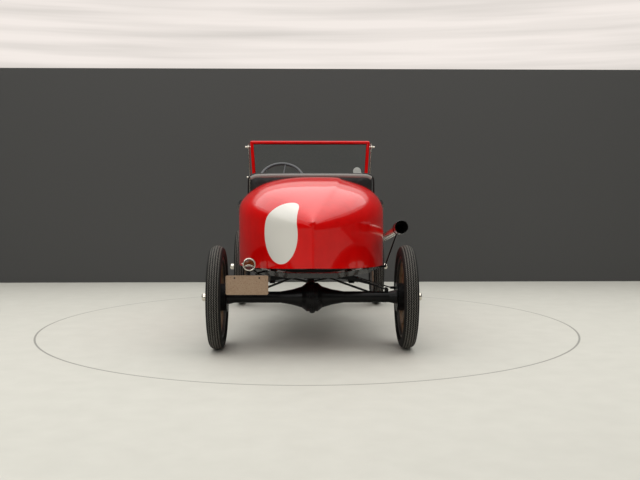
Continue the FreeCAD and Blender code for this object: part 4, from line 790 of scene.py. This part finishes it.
def tailLampDress():
    # Amber glass over ruby, parted by an arched bar, in a rim with a stud at its side and a screw below.
    x, y, z = tailKit["centre"]
    half, radius = tailKit["glassHalf"], tailKit["radius"]

    def archAt(offset):
        return z - tailKit["archDrop"] - tailKit["archBend"] * offset * offset

    pane = turned(tailKit["glass"], "tailGlass", 48)
    editAll(pane)
    bpy.ops.mesh.subdivide(number_cuts=1)
    bpy.ops.object.mode_set(mode="OBJECT")
    pane = finish("tail_lamp_glass", [moved(pane, at((x, y, z)))], amber, smoothAngle=60)
    pane.data.materials.append(ruby)
    for face in pane.data.polygons:
        face.material_index = int(face.center.z < archAt(face.center.x - x))
    arch = []
    for index in range(tailKit["archSteps"] + 1):
        offset = -half + 2 * half * index / tailKit["archSteps"]
        depth = -tailKit["bulge"] * (1 - (offset / half) ** 2) - 0.0012
        arch.append((x + offset, y + depth, archAt(offset)))
    low = [(px, py, pz - 0.0065) for px, py, pz in arch[1:-1]]
    stud = (x - radius + 0.0015, y + 0.006, z + 0.006)
    screw = (x, y - 0.0044, z - radius + 0.0035)
    parts = [moved(turned(tailKit["rim"], "tailRim", 48), at((x, y, z))),
             tubeAlong(arch, 0.0021, "tailArch", 3), tubeAlong(low, 0.0012, "tailArchLow", 3),
             moved(domedHead(0.0048, 0.0100, "tailStud", 14), aim(stud, (x - 1, stud[1], stud[2]))),
             moved(domedHead(0.0036, 0.0052, "tailScrew", 14), aim(screw, (x, y - 1, screw[2])))]
    finish("tail_lamp_rim", parts, nickel, smoothAngle=50)


tailLampDress()

plateKit = {"centre": (-0.471, 0.515), "half": (0.153, 0.070), "face": -1.492, "holes": 0.178 / 2,
            "holeZ": 0.567, "corner": 0.010, "border": 0.0017, "borderInset": 0.004,
            "screw": [(0, -0.0036), (0.0035, -0.0033), (0.0058, -0.0018), (0.0062, -0.0002), (0, 0)]}


def plateDress():
    # A rolled border, two slotted screws and the bar behind the plate.
    (x, z), (wide, high), face = plateKit["centre"], plateKit["half"], plateKit["face"]
    corner = plateKit["corner"]
    reach = (wide - plateKit["borderInset"] - corner, high - plateKit["borderInset"] - corner)
    line = [point for cx, cz, start in ((1, 1, 0), (-1, 1, 90), (-1, -1, 180), (1, -1, 270))
            for point in arc((x + cx * reach[0], z + cz * reach[1]), corner, start, 90, 4)]
    border = tubeAlong([(px, face - 0.0002, pz) for px, pz in line], plateKit["border"], "border", 2,
                       cyclic=True, bend=False)
    finish("plate_border", [border], tan, smoothAngle=50)
    screws = []
    for side in (-1, 1):
        spot = at((x + side * plateKit["holes"], face, plateKit["holeZ"]))
        slot = roundedBox((-0.0045, -0.0040, -0.0006), (0.0045, -0.0030, 0.0006), 0.0002, "screwSlot", 1)
        screws += [moved(turned(plateKit["screw"], "plateScrew", 18), spot), moved(slot, spot)]
    finish("plate_screws", screws, rimPaint, smoothAngle=50)
    backing = roundedBox((x - 0.120, face + 0.0022, z + 0.030), (x + 0.168, face + 0.0052, z + 0.066),
                         0.0012, "backingBar")
    finish("plate_backing_bar", [backing], rimPaint)


plateDress()

pipeKit = {"mouth": Vector((0.677, -1.172, 0.918)), "before": Vector((0.655, 0.010, 0.770)),
           "radius": 0.036, "sleeve": 0.049, "bore": 0.048, "sootTo": 0.42, "lip": 0.004, "sleeveTo": 0.151,
           "band": [(0.0002, -0.007), (0.0022, -0.007), (0.0030, -0.0055), (0.0030, 0.0055),
                    (0.0022, 0.007), (0.0002, 0.007)]}


def exhaustDress():
    # Nickel pipe, soot inside, a gloss black sleeve round its mouth with two bands, and a clamp before it.
    mouth, radius, lip = pipeKit["mouth"], pipeKit["radius"], pipeKit["lip"]
    along = (mouth - pipeKit["before"]).normalized()

    def coat(face):
        offset = face.center - mouth
        back = -offset.dot(along)
        radial = offset + along * back
        inBore = -lip < back < pipeKit["sootTo"] and radial.length < pipeKit["bore"]
        if inBore and face.normal.dot(radial) < 0 or abs(back) < lip and abs(face.normal.dot(along)) > 0.8:
            return 1
        return 2 if back < pipeKit["sleeveTo"] and radial.length > 0.034 else 0

    nodes["exhaust_pipe"].data.materials[0] = nickel
    refinish("exhaust_pipe", [sootAndShade, gloss], coat)
    start = aim(mouth, mouth - along)
    bands = []
    for place, ring in ((0.185, radius), (0.012, pipeKit["sleeve"]), (0.138, pipeKit["sleeve"])):
        band = turned([(ring + proud, spot) for proud, spot in pipeKit["band"]], "pipeBand", 40)
        bands.append(moved(band, start, at((0, place, 0))))
    ears = roundedBox((-0.004, 0.179, -radius - 0.018), (0.004, 0.191, -radius), 0.001, "pipeBandEars")
    finish("exhaust_clamp", [bands[0], moved(ears, start)], iron)
    finish("exhaust_sleeve_bands", bands[1:], gloss)


exhaustDress()
print("lamps, plate and exhaust dressed")


hoodKit = {
    "first": 0.855, "pitch": 0.0475, "count": 8, "middle": 0.905, "tall": 0.150, "wide": 0.016,
    "proud": 0.0055, "slitInset": 0.010, "handleY": 1.020, "handleZ": 0.765, "handleHalf": 0.045,
    "handleGauge": 0.0042, "foot": [(0, 0), (0.0105, 0), (0.0105, 0.0016), (0.007, 0.0034), (0, 0.0036)],
    "strip": ((-0.0150, 0.748, 1.1190), (0.0150, 1.294, 1.1222)), "hingeZ": 1.1240, "knuckles": 18,
    "knuckleFirst": 0.7500, "knucklePitch": 0.0302, "knuckleLong": 0.0290, "knuckleRadius": 0.0044,
}


def oneLouvre():
    # A pressed louvre: a long half-round blister, built flat. The slit at its back is a thin black box of
    # painted shade, where a real louvre opens on the dark under the hood.
    wide, tall = hoodKit["wide"], hoodKit["tall"]
    blister = added(bpy.ops.mesh.primitive_uv_sphere_add, "louvre", segments=20, ring_count=12, radius=1)
    blister.scale = (wide / 2, wide / 2, hoodKit["proud"])
    bakePlace()
    for vert in blister.data.vertices:
        if vert.co.y:
            vert.co.y += math.copysign((tall - wide) / 2, vert.co.y)
    return blister


def hoodDress(side, label):
    body, node = f"bonnet_{label}", f"hood_{label}"
    wide, reach = hoodKit["wide"], hoodKit["tall"] / 2 - hoodKit["slitInset"]
    flip = Matrix.Scale(-1, 4, (1, 0, 0)) if side > 0 else Matrix.Identity(4)
    blisters, slits = [], []
    for index in range(hoodKit["count"]):
        y = hoodKit["first"] + hoodKit["pitch"] * index
        seat = standOn(*onSurface(node, (side, y, hoodKit["middle"]), (-side, 0, 0)))
        blisters.append(moved(oneLouvre(), seat))
        # the slit is a thin black box over the hood skin: painted shade where the louvre's opening would show
        # the dark inside
        slit = roundedBox((wide * 0.36, -reach, -0.001), (wide * 0.62, reach, 0.0009), 0.0006, "slit", 1)
        slits.append(copyPiece(slit, seat @ flip))
        bpy.data.objects.remove(slit)
    finish(f"hood_louvres_{label}", blisters, red, body, 60)
    finish(f"hood_louvre_shade_slits_{label}", slits, sootAndShade, body)

    half = hoodKit["handleHalf"]
    right = [(half, 0, -0.001), (half, 0, 0.012), (half - 0.009, 0, 0.021)]
    left = [(-x, y, z) for x, y, z in right]
    parts = [tubeAlong(left + right[::-1], hoodKit["handleGauge"], "handle", 4)]
    for end in (-half, half):
        parts.append(moved(turned(hoodKit["foot"], "handleFoot", 20, "Z"), at((end, 0, 0))))
    handle = moved(joined(parts, "handle"),
                   standOn(*onSurface(node, (side, hoodKit["handleY"], hoodKit["handleZ"]), (-side, 0, 0))))
    finish(f"hood_handle_{label}", [handle], nickel, body, 50)


def hoodHinge():  # one rod with knuckles all along it, over a narrow centre strip
    parts = [roundedBox(*hoodKit["strip"], 0.0008, "hingeStrip", 1)]
    radius = hoodKit["knuckleRadius"]
    for index in range(hoodKit["knuckles"]):
        start = hoodKit["knuckleFirst"] + hoodKit["knucklePitch"] * index
        end = start + hoodKit["knuckleLong"]
        barrel = turned([(0, start), (radius, start), (radius, end), (0, end)], "hingeBarrel", 14)
        parts.append(moved(barrel, at((0, 0, hoodKit["hingeZ"]))))
    finish("hood_hinge", parts, red)


for way in sides:
    hoodDress(*way)
hoodHinge()
print("hood dressed")

radiatorKit = {
    "capAt": 1.350, "neckZ": 1.1300, "studZ": (0.660, 0.760, 0.860, 0.960),
    "ring": [(0.024, 0), (0.034, 0), (0.0345, 0.002), (0.033, 0.005), (0.028, 0.0075), (0.024, 0.0075)],
    "stud": [(0, -0.001), (0.0055, -0.001), (0.0052, 0.0016), (0.003, 0.0030), (0, 0.0034)],
}


def radiatorDress():
    y = radiatorKit["capAt"]
    parts = [moved(turned(radiatorKit["ring"], "fillerRing", 40, "Z"), at((0, y, radiatorKit["neckZ"])))]
    for side in (-1, 1):
        for z in radiatorKit["studZ"]:
            seat = standOn(*onSurface("radiator_shell", (side, y, z), (-side, 0, 0)))
            parts.append(moved(turned(radiatorKit["stud"], "shellStud", 16, "Z"), seat))
    finish("radiator_trim", parts, nickel, smoothAngle=50)


radiatorDress()
print("radiator dressed")

screenKit = {
    "lowerNut": (0.5640, 0.200, 1.312), "upperNut": (0.5780, 0.200, 1.587),
    "boss": [(0, 0), (0.0085, 0), (0.0075, 0.010), (0.0045, 0.013), (0, 0.0135)],
    "sealY": 0.2003, "sealGauge": 0.0032, "sealLow": 0.4940, "sealHigh": 0.5155, "sealInset": 0.003,
    "mirrorAt": Vector((0.426, 0.142, 1.365)), "mirrorRadius": 0.036,
}


def wingNut(side, place):
    # Boss and two wings, its axis across the car.
    x, y, z = place
    parts = [turned(screenKit["boss"], "nutBoss", 20)]
    for turn in (-1, 1):
        parts.append(roundedBox((turn * 0.006, 0.003, -0.0018), (turn * 0.019, 0.0115, 0.0018), 0.0015,
                                "nutWing"))
    return moved(joined(parts, "wingNut"), aim((side * x, y, z), (side * (x + 1), y, z)))


def windshieldDress():
    for name, place, body in (("windshield_lower_nuts", "lowerNut", "chassis"),
                              ("windshield_wing_nuts", "upperNut", "screen")):
        finish(name, [wingNut(side, screenKit[place]) for side in (-1, 1)], nickel, body, 40)
    low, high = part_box("windshield_glass")
    y, inset = screenKit["sealY"], screenKit["sealInset"]
    half, halfHigh = screenKit["sealLow"], screenKit["sealHigh"]
    line = [(-half, y, low.z + inset), (half, y, low.z + inset),
            (halfHigh, y, high.z - inset), (-halfHigh, y, high.z - inset)]
    seal = tubeAlong(line, screenKit["sealGauge"], "seal", 2, cyclic=True, bend=False)
    finish("windshield_seal", [seal], rubber, "screen", 50)


def mirrorFace(face):
    offset = face.center - screenKit["mirrorAt"]
    return int(face.normal.y < -0.9 and math.hypot(offset.x, offset.z) < screenKit["mirrorRadius"])


windshieldDress()
refinish("rear_view_mirror", [agedMirror], mirrorFace)

helmKit = {
    "centre": Vector((-0.250, -0.180, 1.282)), "axis": Vector((0, -0.766044, 0.642788)),
    "dome": [(0, 0.0130), (0.0105, 0.0130), (0.0095, 0.0200), (0.0055, 0.0245), (0, 0.0255)],
}


def helmDress():
    seat = aim(helmKit["centre"], helmKit["centre"] + helmKit["axis"])
    nut = moved(hexBolt(0.016, 0.012, "helmNut"), seat, at((0, 0.006, 0)))
    dome = moved(turned(helmKit["dome"], "helmDome", 28), seat)
    finish("steering_wheel_nut", [nut, dome], nickel, "helm", 40)


helmDress()
print("windshield and controls dressed")

chassisKit = {
    "rearY": -1.190, "frontY": 1.350, "axleZ": 0.390, "kingPinX": 0.619,
    "railOuter": 0.322, "rivetLevels": (0.551, 0.503), "rivetPitch": 0.135, "rivetFirst": -1.080,
    "rivetLast": 1.30,
    "rivet": [(0, -0.0008), (0.0058, -0.0008), (0.0050, 0.0016), (0.0028, 0.0030), (0, 0.0034)],
    "flange": [(0.100, -0.009), (0.1205, -0.009), (0.1225, -0.007), (0.1225, 0.007), (0.1205, 0.009),
               (0.100, 0.009)],
    "flangeBolts": 10, "boltRing": 0.1145, "boltFace": 0.0085, "plugX": 0.045, "plugReach": 0.108,
    "plugDrop": 0.020, "clipX": (-0.34, -0.20, 0.20, 0.34), "clipGauge": 0.0028, "clipHalf": 0.011,
}


def rivetRow():
    heads = []
    for side in (-1, 1):
        for level in chassisKit["rivetLevels"]:
            y = chassisKit["rivetFirst"]
            while y < chassisKit["rivetLast"]:
                head = moved(turned(chassisKit["rivet"], "railRivet", 12, "X"),
                             at((side * chassisKit["railOuter"], y, level)), Matrix.Scale(side, 4, (1, 0, 0)))
                if side < 0:
                    head.data.flip_normals()
                heads.append(head)
                y += chassisKit["rivetPitch"]
    finish("frame_rivets", heads, black, smoothAngle=60)


def axleFlange():
    # The joint of the axle's two halves, with its ring of bolts and the drain plug.
    y, z = chassisKit["rearY"], chassisKit["axleZ"]
    face, ring, plugX = chassisKit["boltFace"], chassisKit["boltRing"], chassisKit["plugX"]
    parts = [moved(turned(chassisKit["flange"], "axleFlange", 64, "X"), at((0, y, z)))]
    count = chassisKit["flangeBolts"]
    for index in range(count):
        angle = math.radians(360 / count * (index + 0.5))
        for side in (-1, 1):
            parts.append(moved(hexBolt(0.0066, 0.0060, "axleBolt"), at((0, y, z)),
                               Matrix.Rotation(angle, 4, "X"), aim((side * face, 0, ring), (side, 0, ring))))
    plugZ = z - chassisKit["plugDrop"]
    parts.append(moved(hexBolt(0.011, 0.008, "drainPlug"),
                       aim((plugX, y - chassisKit["plugReach"], plugZ), (plugX, y - 1, plugZ))))
    finish("axle_flange", parts, black)


def springClips():
    # Rebound clips: steel bands folded round the leaves and closed with a bolt on top.
    gauge, half = chassisKit["clipGauge"], chassisKit["clipHalf"]
    clips = []
    for front in (True, False):
        own = [vert.co.y for vert in nodes["springs"].data.vertices
               if (vert.co.y > 0) == front and abs(vert.co.x) < 0.3]
        deep, middle = (max(own) - min(own)) / 2, (max(own) + min(own)) / 2
        for x in chassisKit["clipX"]:
            top, facing = onSurface("springs", (x, middle, 1.0), (0, 0, -1))
            foot, _ = onSurface("springs", (x, middle, 0.1), (0, 0, 1))
            if top is None or foot is None:
                continue
            band = roundedBox((-half, -deep - gauge, foot.z - top.z - gauge), (half, deep + gauge, gauge),
                              0.0012, "springClip", 1)
            bolt = moved(hexBolt(0.0062, 0.0050, "clipBolt"), Matrix.Rotation(math.pi / 2, 4, "X"),
                         at((0, gauge, 0)))
            slope = Matrix.Rotation(math.atan2(facing.x, facing.z), 4, "Y")
            clips += [moved(piece, at(top), slope) for piece in (band, bolt)]
    finish("spring_clips", clips, black)


def kingPinNuts(side, label):  # nuts over and under the king pins, riding on the knuckles that they hold
    low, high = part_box(f"knuckle_{label}")
    nuts = []
    for level, way in ((high.z, 1), (low.z, -1)):
        x, y = side * chassisKit["kingPinX"], chassisKit["frontY"]
        nuts.append(moved(hexBolt(0.0130, 0.0085, "kingNut"), aim((x, y, level - way * 0.001),
                                                                  (x, y, level + way))))
    finish(f"king_pin_nuts_{label}", nuts, black, f"steer_knuckle_{label}")


rivetRow()
axleFlange()
springClips()
for way in sides:
    kingPinNuts(*way)

boardKit = {"inner": 0.300, "top": 0.5990, "under": 0.5950, "first": -0.686, "last": 0.690, "step": 0.0640,
            "probe": 0.640, "wallEnd": 0.140, "tuck": 0.002}


def edgeBoards():
    # Thin boards that fill the floor out to the body's curved walls.
    inner, first, last = boardKit["inner"], boardKit["first"], boardKit["last"]
    boards = []
    for side in (-1, 1):
        board = added(bpy.ops.mesh.primitive_grid_add, "edgeBoard", x_subdivisions=1, size=1,
                      y_subdivisions=round((last - first) / boardKit["step"]))
        for vert in board.data.vertices:
            along = first + (vert.co.y + 0.5) * (last - first)
            wallNode = "cockpit_sides" if along < boardKit["wallEnd"] else "cowl"
            wall, _ = onSurface(wallNode, (0, along, boardKit["probe"]), (side, 0, 0))
            reach = abs(wall.x) + boardKit["tuck"] if wall is not None else inner + 0.02
            across = reach if vert.co.x > 0 else inner
            vert.co = (side * max(across, inner), along, boardKit["under"])
        editAll(board)
        bpy.ops.mesh.extrude_region_move(
            TRANSFORM_OT_translate={"value": (0, 0, boardKit["top"] - boardKit["under"])})
        mendSkin(0.00002)
        boards.append(board)
    finish("floor_edge_boards", boards, ash)


edgeBoards()
print("chassis fixings made")

studio = {
    "lens": 47.16, "cameraAt": (-0.0805, -7.484, 1.2017), "pitch": 3.461, "yaw": 1.279,
    "floorSize": 60, "floorColour": "#BFBEB5", "floorPale": "#C4C3BA", "ringColour": "#8E8D86",
    "ringCentre": (-0.02, -0.10, 0), "ringRadius": 2.30, "ringHalf": 0.008,
    "wallColour": "#444443", "wallY": 3.35, "wallTop": 2.74, "wallWide": 40,
    "ceilingLight": "#FFFCF8", "ceilingColour": "#F4ECE6", "ceilingFold": "#D8D2CC",
    "lamps": [("ceilingSoftbox", (0, 0.6, 5.2), (0, 0, 0), (12.0, 9.0), 370),
              ("rearFill", (-3.2, -7.5, 3.4), (62, 0, -22), (3.5, 2.5), 75)],
}


def floorPaint():
    # Pale matt floor paint, with the thin joint of a turntable let into the floor.
    material, tree, shader, place = newMaterial("studioFloorPaint", {"Roughness": 0.62})
    cement = addNode(tree, "ValToRGB", {"stops": [(0.3, studio["floorColour"]), (0.7, studio["floorPale"])]},
                     {0: pattern(tree, place, 900, 5.0)})
    reach = addNode(tree, "VectorMath", {"operation": "DISTANCE", 1: studio["ringCentre"]},
                    {0: place})
    joint = addNode(tree, "Math", {"operation": "COMPARE", 1: studio["ringRadius"],
                                             2: studio["ringHalf"]}, {0: reach.outputs["Value"]})
    tone = addNode(tree, "Mix", {"data_type": "RGBA", 7: srgb(studio["ringColour"])},
                   {0: joint, 6: cement})
    wire(tree, shader, {"Base Color": tone.outputs[2]})
    return material


def wallPaint():
    # Dark matt paint. Only its face towards the car shows; seen from behind it lets the view through.
    material, tree, shader, _ = newMaterial("studioWallPaint", {
        "Roughness": 0.8, "Base Color": srgb(studio["wallColour"])})
    facing = addNode(tree, "NewGeometry")
    clear = addNode(tree, "BsdfTransparent")
    blend = addNode(tree, "MixShader", None, {0: facing.outputs["Backfacing"], 1: shader, 2: clear})
    wire(tree, tree.nodes["Material Output"], {"Surface": blend})
    return material


def studioAir():
    # Dark walls up to about 25 degrees and a white ceiling over them; the camera sees the ceiling's cloth.
    world = bpy.data.worlds.new("studioAir")
    bpy.context.scene.world = world
    world.use_nodes = True
    tree = world.node_tree
    around = addNode(tree, "TexCoord").outputs["Generated"]
    height = addNode(tree, "SeparateXYZ", None, {"Vector": around})
    wall, ceiling = studio["wallColour"], studio["ceilingLight"]
    light = addNode(tree, "ValToRGB", {"stops": [(0.0, wall), (0.40, wall), (0.45, ceiling), (1.0, ceiling)]},
                    {0: height.outputs["Z"]})
    spread = addNode(tree, "Mapping", {"Scale": (0.5, 1, 14)}, {"Vector": around})
    folds = addNode(tree, "TexNoise", {"Scale": 5.0, "Detail": 3.0}, {"Vector": spread})
    cloth = addNode(tree, "ValToRGB", {"stops": [(0.25, studio["ceilingFold"]),
                                                 (0.6, studio["ceilingColour"])]}, {0: folds})
    path = addNode(tree, "LightPath")
    choice = addNode(tree, "Mix", {"data_type": "RGBA"},
                     {0: path.outputs["Is Camera Ray"], 6: light, 7: cloth})
    wire(tree, tree.nodes["Background"], {"Color": choice.outputs[2]})


def buildStudio():
    floor = added(bpy.ops.mesh.primitive_plane_add, "studioFloor", size=studio["floorSize"],
                  location=(0, 6, 0))
    bakePlace()
    floor.data.materials.append(floorPaint())
    wall = added(bpy.ops.mesh.primitive_plane_add, "studioWall", size=1, rotation=(math.pi / 2, 0, 0),
                 location=(0, studio["wallY"], studio["wallTop"] / 2))
    wall.scale = (studio["wallWide"], studio["wallTop"], 1)
    bakePlace()
    wall.data.materials.append(wallPaint())
    studioAir()

    for name, place, turn, (wide, deep), power in studio["lamps"]:
        bpy.ops.object.light_add(type="AREA", location=place, rotation=[math.radians(a) for a in turn])
        lamp = bpy.context.object
        lamp.name = name
        lamp.data.shape = "RECTANGLE"
        lamp.data.size = wide
        lamp.data.size_y = deep
        lamp.data.energy = power

    turn = (math.radians(90 - studio["pitch"]), 0, math.radians(-studio["yaw"]))
    bpy.ops.object.camera_add(location=studio["cameraAt"], rotation=turn)
    camera = bpy.context.object
    camera.name = "photoCamera"
    camera.data.lens = studio["lens"]
    camera.data.sensor_width = 36
    camera.data.clip_end = 200
    bpy.context.scene.camera = camera
    bpy.context.scene.view_settings.view_transform = "Standard"


buildStudio()
print("studio set")
